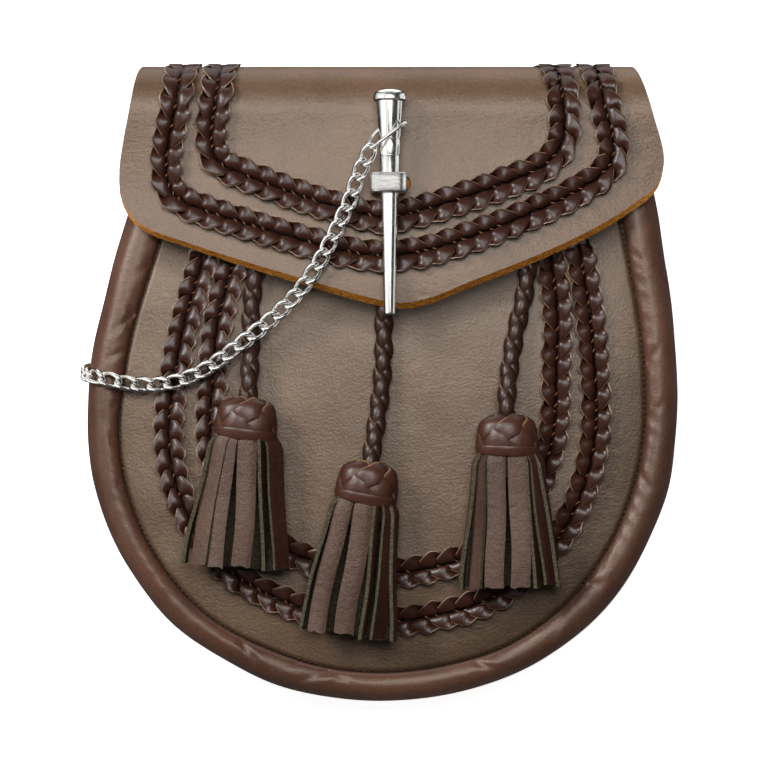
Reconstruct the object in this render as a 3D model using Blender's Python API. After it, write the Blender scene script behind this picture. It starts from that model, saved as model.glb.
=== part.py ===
"""A sporran: a flat leather pouch with a rolled side band, a pointed flap held by a pin through a
staple, woven lace bands, three cord tassels and a curb chain. It lies on its back, with +Y towards
the fold and +Z towards the viewer. Sizes are in millimetres and are scaled to metres at the end."""

import math

import bmesh
import bpy
import numpy as np
from mathutils import Matrix, Vector

MM = 0.001
GAP = 0.3  # kept between pieces that touch on the real object
EDGE_GAP = 0.5  # kept between the panels' edges and the side band

# The outlines are drawn from the bag's own centre line: this point of it is the part's origin.
ORIGIN_X = -1.8
ORIGIN_Y = 0.4

# ---- leather thicknesses and depths ----
FRONT_THICK = 2.2
BACK_THICK = 2.8
GUSSET_THICK = 1.6
BACK_Z = 3.0  # the back panel's rear face, above the rear roll it rests on
FOLD_RADIUS = 15.0
FOLD_Y = 83.5  # where the flap leaves the fold
FOLD_Z = BACK_Z + FOLD_RADIUS
MOUTH_Y = 78.0  # top edge of the front panel
GUSSET_TOP_Y = 80.0

# The gusset's outline from the front: y, left edge, right edge
OUTLINE = (
    (GUSSET_TOP_Y, -71.4, 81.9),
    (48.0, -80.6, 86.9),
    (20.0, -88.3, 91.0),
    (0.0, -91.6, 92.4),
    (-18.0, -92.5, 91.8),
    (-36.0, -89.6, 88.0),
    (-55.0, -82.0, 80.0),
    (-72.0, -70.0, 68.2),
    (-84.0, -56.2, 54.8),
    (-93.0, -38.0, 39.0),
    (-98.6, -20.0, 18.5),
)
OUTLINE_BOTTOM = (-1.0, -100.4)
GUSSET_SECTIONS = 27

# How wide the gusset's front roll is: y, width from the outline to the stitched seam
ROLL_WIDTH = ((-101.0, 8.1), (-10.0, 9.3), (48.0, 10.6), (90.0, 11.0))

# Height of the front panel at the seam: y, z
FRONT_RISE = ((-101.0, 27.8), (-92.0, 28.3), (-50.0, 29.6), (0.0, 29.0), (40.0, 26.2), (80.0, 21.4))
CROWN = 2.6  # how far the middle of the front stands above its seam
CROWN_HALF_WIDTH = 84.0
CROWN_HALF_HEIGHT = 92.0
FRONT_ROWS, FRONT_COLUMNS = 15, 7

# Section of the gusset, from the lip under the front panel out over both rolls to the lip on the
# back panel: outward from the seam, height, and which edge the height is measured from
GUSSET_SECTION = (
    (-4.0, -FRONT_THICK - EDGE_GAP, "front"),
    (0.1, -FRONT_THICK - EDGE_GAP, "front"),
    (0.4, -0.5, "front"),
    (1.7, 1.6, "front"),
    (4.4, 2.5, "front"),
    (7.4, 0.7, "front"),
    (9.0, -5.5, "front"),
    (8.2, -10.0, "front"),
    (9.3, 9.0, "table"),
    (8.4, 3.4, "table"),
    (6.2, 0.0, "table"),
    (3.2, 0.0, "table"),
    (0.9, 2.0, "table"),
    (0.3, BACK_Z + BACK_THICK + GAP, "table"),
    (-4.0, BACK_Z + BACK_THICK + GAP, "table"),
)
SECTION_WIDTH = 9.0  # the roll width that the section above is drawn for

# ---- the flap ----
# Outline of the flap from the fold down to its tip and up again: x, y
FLAP_OUTLINE = (
    (-80.0, FOLD_Y),
    (-81.6, 75.0),
    (-82.8, 65.5),
    (-81.8, 55.5),
    (-75.5, 47.2),
    (-59.4, 41.0),
    (-40.1, 34.6),
    (-22.0, 29.1),
    (-5.3, 24.3),
    (5.5, 22.4),
    (15.3, 24.2),
    (28.0, 29.3),
    (49.3, 37.8),
    (66.5, 46.0),
    (79.6, 54.2),
    (86.4, 60.5),
    (88.2, 70.5),
    (84.9, FOLD_Y),
)
# The flap leather over the fold: y measured along the leather, left edge, right edge
FOLD_EDGES = (
    (FOLD_Y, -80.0, 84.9),
    (FOLD_Y + 0.50 * math.pi * FOLD_RADIUS, -75.5, 78.5),
    (FOLD_Y + 0.85 * math.pi * FOLD_RADIUS, -67.0, 75.5),
    (FOLD_Y + math.pi * FOLD_RADIUS, -62.6, 73.0),
)
FLAP_TIP_Y = 22.4
FLAP_RISE = 6.8  # the tip rides this much higher than the fold, over the cords
FLAP_DROOP = 2.8  # how far the side edges hang below the middle
FLAP_HALF_WIDTH = 85.0
CUT_SLANT = 2.0  # the lower edge is cut at a slant that shows this much raw leather
BACK_ROWS, FOLD_ROWS, FLAP_ROWS, SHEET_COLUMNS = 12, 8, 14, 9

# ---- woven lace bands ----
PLAIT_HALF_WIDTH = 4.35
PLAIT_LOBE = 0.5  # how far a lace's turn stands out and in from that width
PLAIT_THICK = 2.4
PLAIT_SHOULDER = 1.5  # the top is narrower than the base by this much on each side
LOBE_LENGTH = 5.5  # between one lace's turn and the next on the same side
# The bands on the front, as distances in from the seam: y, outer band, inner band
FRONT_PLAITS = (
    (-93.0, 16.6, 31.8),
    (-50.0, 15.6, 29.6),
    (0.0, 16.2, 28.6),
    (30.0, 15.4, 25.2),
    (60.0, 15.0, 24.4),
)
FRONT_PLAIT_TOP_Y = 43.0
# The bands on the flap, with y measured along the leather and on over the fold: x, y
FLAP_PLAIT_OUTER = (
    (-62.0, 113.0),
    (-64.8, 88.0),
    (-67.9, 70.0),
    (-66.0, 59.2),
    (-56.8, 53.6),
    (-31.1, 45.6),
    (-11.9, 40.5),
    (2.2, 39.2),
    (19.0, 42.1),
    (47.8, 53.0),
    (65.6, 62.4),
    (71.8, 69.5),
    (71.7, 78.2),
    (68.9, 89.0),
    (65.5, 113.0),
)
FLAP_PLAIT_INNER = (
    (-50.0, 113.0),
    (-52.2, 89.8),
    (-53.8, 78.0),
    (-52.2, 69.6),
    (-46.0, 65.6),
    (-25.3, 57.7),
    (-5.4, 52.0),
    (3.0, 51.4),
    (15.3, 54.2),
    (37.0, 61.4),
    (50.3, 67.4),
    (56.0, 74.5),
    (56.9, 82.0),
    (56.3, 89.0),
    (53.0, 113.0),
)

# ---- cords, knots and tassels ----
CORD_DIAMETER = 5.2
CORD_SPACING = 2.4  # points along a cord, in cord diameters
# Each cord from where it leaves the front panel, under the flap, to just above its knot:
# x, y, height of its middle above the front panel
CORD_LIFT = GAP + CORD_DIAMETER / 2
CORD_ROUTES = {
    "left": (
        (-37.2, 51.0, CORD_LIFT),
        (-38.0, 44.0, CORD_LIFT),
        (-39.6, 36.0, CORD_LIFT),
        (-40.9, 28.0, CORD_LIFT),
        (-41.5, 18.0, CORD_LIFT),
        (-41.5, 9.5, CORD_LIFT + 1.3),
        (-41.7, 1.5, CORD_LIFT + 3.7),
    ),
    "middle": (
        (0.8, 42.0, CORD_LIFT),
        (0.7, 32.0, CORD_LIFT),
        (0.3, 21.0, CORD_LIFT),
        (0.2, 9.0, CORD_LIFT),
        (-0.6, -3.0, CORD_LIFT + 0.4),
        (-1.7, -11.0, CORD_LIFT + 1.6),
        (-2.8, -18.5, CORD_LIFT + 3.7),
    ),
    "right": (
        (44.0, 51.0, CORD_LIFT),
        (44.9, 43.0, CORD_LIFT),
        (45.4, 36.0, CORD_LIFT),
        (44.8, 29.0, CORD_LIFT),
        (43.4, 22.5, CORD_LIFT),
        (41.6, 15.0, CORD_LIFT),
        (39.9, 5.0, CORD_LIFT + 1.1),
        (38.9, -3.5, CORD_LIFT + 3.7),
    ),
}
CORD_END_GAP = 0.8  # between a cord's cut end and its knot
KNOT_LENGTH = 14.2
# The knot, from the cord down: share of the length, half width, half height
KNOT_PROFILE = (
    (0.00, 3.4, 3.2),
    (0.10, 6.6, 4.8),
    (0.28, 8.9, 6.0),
    (0.52, 9.7, 6.4),
    (0.78, 9.7, 6.3),
    (1.00, 8.9, 5.8),
)
KNOT_SIDES = 12
KNOT_LIFT = 7.5  # height of the knot's axis above the front panel
SKIRT_LIFT = 9.7  # height of the skirt's axis at its end, over the woven bands
UNDERSIDE = 0.72  # the skirt is this much flatter below its axis than above it
# Tassel: side, knot top x, y, skirt bottom x, y, width at the bottom
TASSELS = (
    ("left", -42.2, -5.7, -46.1, -58.9, 35.0),
    ("middle", -3.9, -25.7, -11.3, -80.0, 34.5),
    ("right", 38.6, -10.9, 39.7, -65.0, 33.0),
)
STRIPS = 11
STRIP_THICK = 1.4
STRIP_WIDTH = 4.9
STRIP_ROWS = 3
STRIP_CORNERS = ((-1, 1), (1, 1), (1, -1), (-1, -1))  # round the skirt, outwards
SKIRT_TOP_HALF = (8.8, 5.4)  # half width and half height just under the knot
SKIRT_BOTTOM_HALF_HEIGHT = 4.8
SKIRT_HEAD = 3.0  # length of the wound head that the strips leave
ROOT_SHARE = 0.86  # a strip's root is this share of its stretch of the head's rim

# ---- metal ----
STAPLE_X, STAPLE_Y = 1.9, 62.7
STAPLE_HALF_INSIDE = 4.5
STAPLE_METAL = 1.5
STAPLE_DEPTH = 5.6
STAPLE_FOOT = 5.0
STAPLE_HEADROOM = 3.5  # from the pin's axis to the staple's underside
SLOT_CENTRE = (2.2, 62.0)
SLOT_LENGTH, SLOT_WIDTH = 16.4, 10.2
SLOT_END_STEPS = 7
SLOT_CUT_LOW, SLOT_CUT_HIGH = 26.0, 46.0  # the slot's cutter runs between these heights
PIN_X = 2.1
PIN_TOP_Y, PIN_TOP_Z = 91.8, 39.4
PIN_TIP_Y, PIN_TIP_Z = 21.4, 45.6
# The pin, as turned: distance from the top, radius
PIN_PROFILE = (
    (0.0, 2.6),
    (0.5, 4.0),
    (1.6, 4.8),
    (2.6, 4.95),
    (3.6, 4.7),
    (3.7, 3.7),
    (14.9, 3.15),
    (15.4, 2.95),
    (15.9, 3.1),
    (20.4, 2.9),
    (20.8, 2.7),
    (21.2, 2.85),
    (32.5, 2.55),
    (70.0, 1.6),
    (70.7, 1.3),
)
PIN_SIDES = 12
CROSS_HOLE_Y = 79.2
CROSS_HOLE_RADIUS = 1.15
CROSS_HOLE_TURN = math.radians(16.0)
CROSS_HOLE_SIDES, CROSS_HOLE_REACH = 8, 8.0
RING_WIRE = 1.0
RING_STEPS, RING_SIDES = 15, 5
# The wire ring, through the cross hole and over the pin's front: along X, along Y, height,
# each from the middle of the cross hole
RING_LOOP = (
    (0.0, 0.0, 0.0),
    (3.6, 1.1, 0.1),
    (5.0, 1.2, 2.0),
    (3.4, 0.0, 4.3),
    (-0.6, -2.6, 4.9),
    (-4.6, -5.4, 4.0),
    (-6.2, -5.3, 1.8),
    (-5.4, -2.8, 0.1),
    (-3.4, -1.1, -0.1),
)
LINK_LENGTH, LINK_WIDTH, LINK_WIRE = 7.7, 5.0, 1.0
LINK_TWIST = 0.9  # how far the link's sides rise and fall from flat
LINK_SIDES, WIRE_SIDES = 12, 5
LINK_PITCH = 5.1
# A link faces up until the chain falls this steeply, and faces outwards once it falls straight
DROP_START, DROP_SPAN = 0.3, 0.6
# The chain, from the ring over the flap's edge and the front to the gusset's side: x, y, z
CHAIN_ROUTE = (
    (-3.9, 72.4, 42.5),
    (-7.1, 65.3, 41.2),
    (-10.0, 57.0, 40.9),
    (-12.6, 51.0, 41.6),
    (-15.3, 45.4, 42.5),
    (-18.0, 40.2, 43.2),
    (-21.2, 34.8, 42.6),
    (-25.5, 28.8, 41.3),
    (-30.2, 23.7, 39.2),
    (-35.0, 19.2, 38.0),
    (-39.8, 15.2, 38.5),
    (-44.4, 11.6, 38.4),
    (-49.4, 7.8, 36.8),
    (-55.4, 3.7, 35.7),
    (-61.6, 0.7, 35.0),
    (-67.4, -0.8, 34.7),
    (-72.6, -1.3, 34.0),
    (-77.6, -1.2, 33.4),
    (-82.4, -0.5, 33.5),
    (-86.8, 0.5, 33.5),
    (-90.8, 1.4, 31.4),
    (-93.2, 2.1, 27.2),
    (-93.7, 2.6, 22.4),
    (-93.3, 2.9, 17.6),
)
ANCHOR_X, ANCHOR_Y, ANCHOR_Z = -91.35, 3.0, 14.2
ANCHOR_TILT = math.radians(6.0)  # the gusset's side leans in towards the front
ANCHOR_HALF_INSIDE, ANCHOR_HEIGHT = 1.7, 4.8
ANCHOR_METAL, ANCHOR_FOOT, ANCHOR_DEPTH = 1.1, 2.0, 1.5

# ---- belt loops, on the back ----
BELT_LOOP_WIDTH, BELT_LOOP_THICK = 24.0, 2.4
BELT_LOOP_X = (-36.0, 40.0)
BELT_LOOP_Y = (-12.0, 62.0)

CURVE_STEPS = 12
FLAT_ANGLE = 0.0005  # faces that meet at less than this are one flat face
SHARP_ANGLE = math.radians(40)


def clear_scene():
    for old in list(bpy.data.objects):
        bpy.data.objects.remove(old)


def make_material(name, color, roughness, metallic=0.0):
    made = bpy.data.materials.new(name)
    made.use_nodes = True
    shader = made.node_tree.nodes["Principled BSDF"]
    shader.inputs["Base Color"].default_value = (*color, 1.0)
    shader.inputs["Roughness"].default_value = roughness
    shader.inputs["Metallic"].default_value = metallic
    return made


def smooth_line(points, count, closed=False):
    """Points at equal steps along a smooth curve through the given ones."""
    points = np.array(points, float)
    if closed:
        padded = np.vstack([points[-1:], points, points[:2]])
    else:
        padded = np.vstack([2 * points[0] - points[1], points, 2 * points[-1] - points[-2]])
    t = np.linspace(0, 1, CURVE_STEPS, endpoint=False)[:, None]
    pieces = []
    for before, start, end, after in zip(padded, padded[1:], padded[2:], padded[3:]):
        bend = before - 2.5 * start + 2 * end - 0.5 * after
        turn = 1.5 * (start - end) + 0.5 * (after - before)
        pieces.append(start + 0.5 * t * (end - before) + t**2 * bend + t**3 * turn)
    pieces.append(points[:1] if closed else points[-1:])
    fine = np.vstack(pieces)
    steps = np.linalg.norm(np.diff(fine, axis=0), axis=1)
    along = np.concatenate([[0.0], np.cumsum(steps)])
    wanted = np.linspace(0, along[-1], count)
    return np.column_stack([np.interp(wanted, along, values) for values in fine.T])


def line_length(line):
    return np.linalg.norm(np.diff(line, axis=0), axis=1).sum()


def read_table(rows, key, column):
    """A smooth value from a table whose first column rises."""
    fine = smooth_line([(row[0], row[column]) for row in rows], 12 * len(rows))
    return np.interp(key, fine[:, 0], fine[:, 1])


def tangents(line):
    steps = np.gradient(line, axis=0)
    return steps / np.linalg.norm(steps, axis=1)[:, None]


def inset(line, distances):
    """The line moved sideways, to the left of the way it runs."""
    along = tangents(line)
    normals = np.column_stack([-along[:, 1], along[:, 0]])
    return line + normals * np.reshape(distances, (-1, 1))


def front_height(x, y):
    """Height of the front panel's outer face."""
    across = 1 - (x / CROWN_HALF_WIDTH) ** 2
    down = 1 - (np.minimum(y, 0) / CROWN_HALF_HEIGHT) ** 2
    return read_table(FRONT_RISE, y, 1) + CROWN * across * down


def ease(t):
    t = np.clip(t, 0, 1)
    return t * t * (3 - 2 * t)


def flap_height(x, y):
    """Height of the flap's outer face, below the fold."""
    down = (FOLD_Y - y) / (FOLD_Y - FLAP_TIP_Y)
    droop = FLAP_DROOP * np.abs(x / FLAP_HALF_WIDTH) ** 2.5 * ease(2 * down)
    return FOLD_Z + FOLD_RADIUS + FLAP_RISE * ease(down) - droop


def flap_point(x, y, lift=0.0):
    """A point on the flap, with y measured along the leather and on over the fold."""
    turn = max(0.0, (y - FOLD_Y) / FOLD_RADIUS)
    if turn == 0:
        return np.array([x, y, flap_height(x, y) + lift])
    radius = FOLD_RADIUS + lift
    return np.array([x, FOLD_Y + radius * math.sin(turn), FOLD_Z + radius * math.cos(turn)])


def outline_line(count):
    left = [(row[1], row[0]) for row in OUTLINE]
    right = [(row[2], row[0]) for row in reversed(OUTLINE)]
    return smooth_line(left + [OUTLINE_BOTTOM] + right, count)


def roll_widths(line):
    return np.array([read_table(ROLL_WIDTH, y, 1) for y in line[:, 1]])


def seam_line(count, clearance=0.0):
    """The stitched line between the front panel and the gusset, or one just inside it."""
    line = outline_line(count)
    return inset(line, roll_widths(line) + clearance)


def rows_across(line, columns):
    """Rows of points between the left and right halves of a line that runs down and up again."""
    half = len(line) // 2
    share = np.linspace(0, 1, columns)[:, None]
    return [line[i] * (1 - share) + line[-1 - i] * share for i in range(half + 1)]


def add_mesh(name, vertices, faces, material):
    """One object of a closed mesh, its faces turned out and its repeated points joined."""
    mesh = bpy.data.meshes.new(name)
    mesh.from_pydata([tuple(float(v) * MM for v in vertex) for vertex in vertices], [], faces)
    body = bmesh.new()
    body.from_mesh(mesh)
    bmesh.ops.remove_doubles(body, verts=body.verts, dist=0.00001)
    bmesh.ops.dissolve_limit(body, angle_limit=FLAT_ANGLE, verts=body.verts, edges=body.edges)
    bmesh.ops.recalc_face_normals(body, faces=body.faces)
    body.to_mesh(mesh)
    body.free()
    mesh.shade_smooth()
    mesh.set_sharp_from_angle(angle=SHARP_ANGLE)
    return add_object(name, mesh, material)


def add_object(name, data, material):
    made = bpy.data.objects.new(name, data)
    if not data.materials:
        data.materials.append(material)
    bpy.context.scene.collection.objects.link(made)
    made.parent = bag
    return made


def grid_faces(rows, columns, offset=0):
    return [
        (
            offset + i * columns + j,
            offset + i * columns + j + 1,
            offset + (i + 1) * columns + j + 1,
            offset + (i + 1) * columns + j,
        )
        for i in range(rows - 1)
        for j in range(columns - 1)
    ]


def add_sheet(name, outer, inner, material):
    """A leather sheet between two grids of points."""
    rows, columns = outer.shape[:2]
    count = rows * columns
    faces = grid_faces(rows, columns) + grid_faces(rows, columns, count)
    rim = list(range(columns))
    rim += [i * columns + columns - 1 for i in range(1, rows)]
    rim += [(rows - 1) * columns + j for j in range(columns - 2, -1, -1)]
    rim += [i * columns for i in range(rows - 2, 0, -1)]
    for a, b in zip(rim, rim[1:] + rim[:1]):
        faces.append((a, b, b + count, a + count))
    points = np.vstack([outer.reshape(-1, 3), inner.reshape(-1, 3)])
    return add_mesh(name, points, faces, material)


def add_loft(name, sections, material, closed=False):
    """A solid through sections of equal point counts, capped unless it closes on itself."""
    sides = len(sections[0])
    count = len(sections)
    faces = []
    for i in range(count if closed else count - 1):
        a, b = i * sides, (i + 1) % count * sides
        for j in range(sides):
            k = (j + 1) % sides
            faces.append((a + j, a + k, b + k, b + j))
    if not closed:
        faces.append(tuple(range(sides)))
        faces.append(tuple(range((count - 1) * sides, count * sides)))
    return add_mesh(name, np.vstack(sections), faces, material)


def add_front_panel(material):
    line = seam_line(60, EDGE_GAP)
    edge = smooth_line(line[line[:, 1] <= MOUTH_Y], 2 * FRONT_ROWS - 1)
    rows = rows_across(edge, FRONT_COLUMNS)
    outer = np.array([[(x, y, front_height(x, y)) for x, y in row] for row in rows])
    inner = outer - np.array([0, 0, FRONT_THICK])
    add_sheet("front_panel", outer, inner, material)


def offset_right(path, distance):
    """The open path moved to the right of the way it runs, with square corners kept."""
    steps = np.diff(path, axis=0)
    steps /= np.linalg.norm(steps, axis=1)[:, None]
    rights = np.column_stack([steps[:, 1], -steps[:, 0]])
    moved = [path[0] + rights[0] * distance]
    for before, after, point in zip(rights, rights[1:], path[1:]):
        corner = before + after
        moved.append(point + corner * distance * 2 / corner.dot(corner))
    moved.append(path[-1] + rights[-1] * distance)
    return np.array(moved)


def gusset_section(point, outward, width):
    """The section of the side band at one point of the seam, as a closed loop."""
    seam_z = front_height(point[0], point[1])
    outer = []
    for out, height, edge in GUSSET_SECTION:
        scale = width / SECTION_WIDTH if out > 0 else 1.0
        outer.append((out * scale, height + (seam_z if edge == "front" else 0.0)))
    outer = np.array(outer)
    inner = offset_right(outer, GUSSET_THICK)
    loop = np.vstack([outer, inner[::-1]])
    return [(*(point + outward * out), height) for out, height in loop]


def add_gusset(material):
    line = outline_line(GUSSET_SECTIONS)
    widths = roll_widths(line)
    along = tangents(line)
    outwards = np.column_stack([along[:, 1], -along[:, 0]])
    sections = [
        gusset_section(point - outward * width, outward, width)
        for point, outward, width in zip(line, outwards, widths)
    ]
    add_loft("gusset", sections, material)


def fold_rows():
    """Rows of the leather round the fold, from the back panel up, and their outward directions."""
    rows, normals = [], []
    share = np.linspace(0, 1, SHEET_COLUMNS)
    for turn in np.linspace(math.pi, 0, FOLD_ROWS + 1)[:-1]:
        y = FOLD_Y + turn * FOLD_RADIUS
        left, right = read_table(FOLD_EDGES, y, 1), read_table(FOLD_EDGES, y, 2)
        rows.append([flap_point(x, y) for x in left * (1 - share) + right * share])
        normals.append((0, math.sin(turn), math.cos(turn)))
    return rows, normals


def add_back_and_flap(material):
    back_rows = rows_across(seam_line(2 * BACK_ROWS - 1, EDGE_GAP), SHEET_COLUMNS)[::-1]
    outer = [[(x, y, BACK_Z) for x, y in row] for row in back_rows]
    inner = [[(x, y, BACK_Z + BACK_THICK) for x, y in row] for row in back_rows]
    folded, normals = fold_rows()
    for row, normal in zip(folded, normals):
        outer.append(row)
        inner.append([point - np.array(normal) * BACK_THICK for point in row])
    whole = smooth_line(FLAP_OUTLINE, 2 * FLAP_ROWS - 1)
    cut = inset(whole, CUT_SLANT * np.clip(tangents(whole)[:, 0], 0, 1))
    cut_rows = rows_across(cut, SHEET_COLUMNS)
    for cut_row, whole_row in zip(cut_rows, rows_across(whole, SHEET_COLUMNS)):
        outer.append([flap_point(x, y) for x, y in cut_row])
        inner.append([flap_point(x, y) - np.array([0, 0, BACK_THICK]) for x, y in whole_row])
    sheet = add_sheet("back_and_flap", np.array(outer), np.array(inner), material)
    cut_slot(sheet, material)


def cut_slot(sheet, material):
    """The round-ended slot in the flap that the staple stands through."""
    half = (SLOT_LENGTH - SLOT_WIDTH) / 2
    radius = SLOT_WIDTH / 2
    loop = []
    for side, start in ((1, -math.pi / 2), (-1, math.pi / 2)):
        for turn in np.linspace(start, start + math.pi, SLOT_END_STEPS):
            x = SLOT_CENTRE[0] + side * half + radius * math.cos(turn)
            loop.append((x, SLOT_CENTRE[1] + radius * math.sin(turn)))
    ends = [[(x, y, z) for x, y in loop] for z in (SLOT_CUT_LOW, SLOT_CUT_HIGH)]
    cutter = add_loft("slot_cutter", ends, material)
    cut_with(sheet, cutter)


def cut_with(target, cutter):
    cutter.hide_render = True
    cutter.display_type = "WIRE"
    cut = target.modifiers.new("cut", "BOOLEAN")
    cut.operation = "DIFFERENCE"
    cut.object = cutter


def add_plait(name, centre, surface, material):
    """A woven band laid on a surface: surface(x, y, lift) gives its points."""
    count = 2 * round(line_length(centre) / LOBE_LENGTH) + 1
    line = smooth_line(centre, count)
    along = tangents(line)
    sideways = np.column_stack([along[:, 1], -along[:, 0]])
    sections = []
    for i, (point, side) in enumerate(zip(line, sideways)):
        lobe = PLAIT_LOBE if i % 2 else -PLAIT_LOBE
        right = PLAIT_HALF_WIDTH + lobe
        left = PLAIT_HALF_WIDTH - lobe
        corners = (
            (-left, GAP),
            (right, GAP),
            (right - PLAIT_SHOULDER, GAP + PLAIT_THICK),
            (-left + PLAIT_SHOULDER, GAP + PLAIT_THICK),
        )
        sections.append([surface(*(point + side * out), lift) for out, lift in corners])
    add_loft(name, sections, material)


def front_point(x, y, lift=0.0):
    return np.array([x, y, front_height(x, y) + lift])


def add_front_plaits(material):
    for column, name in ((1, "front_plait_outer"), (2, "front_plait_inner")):
        line = seam_line(81)
        distances = [read_table(FRONT_PLAITS, y, column) for y in line[:, 1]]
        line = inset(line, distances)
        add_plait(name, line[line[:, 1] < FRONT_PLAIT_TOP_Y], front_point, material)


def add_flap_plaits(material):
    add_plait("flap_plait_outer", FLAP_PLAIT_OUTER, flap_point, material)
    add_plait("flap_plait_inner", FLAP_PLAIT_INNER, flap_point, material)


def add_cord(row, material):
    side = row[0]
    route = [(x, y, front_height(x, y) + lift) for x, y, lift in CORD_ROUTES[side]]
    frame, _ = tassel_frame(row)
    route.append(tuple(frame @ Vector((0, -CORD_END_GAP * MM, 0)) / MM))
    count = round(line_length(smooth_line(route, 100)) / (CORD_SPACING * CORD_DIAMETER)) + 1
    line = smooth_line(route, count)
    curve = bpy.data.curves.new("cord_" + side, "CURVE")
    curve.dimensions = "3D"
    curve.bevel_depth = CORD_DIAMETER / 2 * MM
    curve.bevel_resolution = 2
    curve.use_fill_caps = True
    spline = curve.splines.new("POLY")
    spline.points.add(count - 1)
    for point, place in zip(spline.points, line):
        point.co = (*(place * MM), 1.0)
    add_object("cord_" + side, curve, material)


def tassel_frame(row):
    """Place and turn of a tassel: local +Y runs from the knot's top to the skirt's bottom."""
    _, top_x, top_y, end_x, end_y, _ = row
    top = Vector((top_x, top_y, front_height(top_x, top_y) + KNOT_LIFT))
    end = Vector((end_x, end_y, front_height(end_x, end_y) + SKIRT_LIFT))
    down = (end - top).normalized()
    across = down.cross(Vector((0, 0, 1))).normalized()
    up = across.cross(down)
    turn = Matrix((across, down, up)).transposed().to_4x4()
    return Matrix.Translation(top * MM) @ turn, (end - top).length


def add_knot(row, material):
    frame, _ = tassel_frame(row)
    sections = []
    for share, half_width, half_height in KNOT_PROFILE:
        ring = np.linspace(0, 2 * math.pi, KNOT_SIDES, endpoint=False)
        y = share * KNOT_LENGTH
        sections.append([(half_width * math.cos(a), y, half_height * math.sin(a)) for a in ring])
    made = add_loft("tassel_knot_" + row[0], sections, material)
    made.matrix_local = frame


def skirt_place(angle, y, length, width):
    """Middle of a strip at a distance down the skirt, and its direction round the skirt."""
    share = ease(y / length * 0.8) / ease(0.8)
    half_width = SKIRT_TOP_HALF[0] * (1 - share) + (width / 2 - STRIP_WIDTH / 2) * share
    half_height = SKIRT_TOP_HALF[1] * (1 - share) + SKIRT_BOTTOM_HALF_HEIGHT * share
    if math.sin(angle) < 0:
        half_height *= UNDERSIDE
    middle = np.array([half_width * math.cos(angle), y, half_height * math.sin(angle)])
    round_it = np.array([-half_width * math.sin(angle), 0, half_height * math.cos(angle)])
    return middle, round_it / np.linalg.norm(round_it)


def skirt_rim(y, length, width, angles):
    """The head's outer edge and the inner edge of the ring that the strips leave."""
    outer = [skirt_place(angle, 0, length, width)[0] for angle in angles]
    depth = 2 * STRIP_THICK
    inner = [middle * (1 - depth / np.linalg.norm(middle)) for middle in outer]
    return [point + np.array([0, y, 0]) for point in outer + inner]


def strip_sections(root, angle, start, length, width):
    """Four corners of a strip at each row, from inside its root down to its cut end."""
    centre = np.mean(root, axis=0)
    sections = [[centre + (corner - centre) * ROOT_SHARE for corner in root]]
    for step in range(1, STRIP_ROWS + 1):
        y = (length - SKIRT_HEAD) * step / STRIP_ROWS + SKIRT_HEAD
        middle, round_it = skirt_place(angle, y, length, width)
        middle[1] = start + y
        half = round_it * STRIP_WIDTH / 2
        out = np.array([round_it[2], 0, -round_it[0]]) * STRIP_THICK / 2
        sections.append([middle + s * half + t * out for s, t in STRIP_CORNERS])
    return sections


def add_tassel(row, material):
    """A skirt of strips that leave one wound head."""
    frame, whole_length = tassel_frame(row)
    width = row[5]
    start = KNOT_LENGTH + GAP
    length = whole_length - start
    angles = np.linspace(0, 2 * math.pi, STRIPS + 1)[:-1] + math.pi / 2 - math.pi / STRIPS
    points = skirt_rim(start, length, width, angles)
    points += skirt_rim(start + SKIRT_HEAD, length, width, angles)
    faces = [tuple(range(STRIPS, 2 * STRIPS)), tuple(range(3 * STRIPS, 4 * STRIPS))]
    for i in range(STRIPS):
        j = (i + 1) % STRIPS
        faces.append((i, j, j + 2 * STRIPS, i + 2 * STRIPS))
        faces.append((i, j, j + STRIPS, i + STRIPS))
        corners = [i + 2 * STRIPS, j + 2 * STRIPS, j + 3 * STRIPS, i + 3 * STRIPS]
        root = [points[corner] for corner in corners]
        for section in strip_sections(root, angles[i] + math.pi / STRIPS, start, length, width):
            new = [len(points) + k for k in range(4)]
            points += section
            faces += [(corners[k], corners[k - 1], new[k - 1], new[k]) for k in range(4)]
            corners = new
        faces.append(tuple(corners))
    made = add_mesh("tassel_" + row[0], points, faces, material)
    made.matrix_local = frame


def add_belt_loops(material):
    low, high = BELT_LOOP_Y
    top = BACK_Z - GAP
    for side, x in zip(("left", "right"), BELT_LOOP_X):
        left, right = x - BELT_LOOP_WIDTH / 2, x + BELT_LOOP_WIDTH / 2
        corners = ((left, low), (right, low), (right, high), (left, high))
        ends = [[(a, b, z) for a, b in corners] for z in (top - BELT_LOOP_THICK, top)]
        add_loft("belt_loop_" + side, ends, material)


def add_bent_strap(name, half_inside, height, metal, foot, depth, material):
    """A metal strap bent into a bridge on two feet: local Z is its height, Y its depth."""
    half = half_inside + metal
    bend, outer_bend = 0.8 * metal, 1.12 * metal
    right_side = [
        (half - outer_bend, height),
        (half, height - outer_bend),
        (half, metal),
        (half + foot, metal),
        (half + foot, 0),
        (half_inside, 0),
        (half_inside, height - metal - bend),
        (half_inside - bend, height - metal),
    ]
    profile = right_side + [(-x, z) for x, z in reversed(right_side)]
    ends = [[(x, y, z) for x, z in profile] for y in (-depth / 2, depth / 2)]
    return add_loft(name, ends, material)


def pin_height(y):
    share = (PIN_TOP_Y - y) / (PIN_TOP_Y - PIN_TIP_Y)
    return PIN_TOP_Z + (PIN_TIP_Z - PIN_TOP_Z) * share


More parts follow.
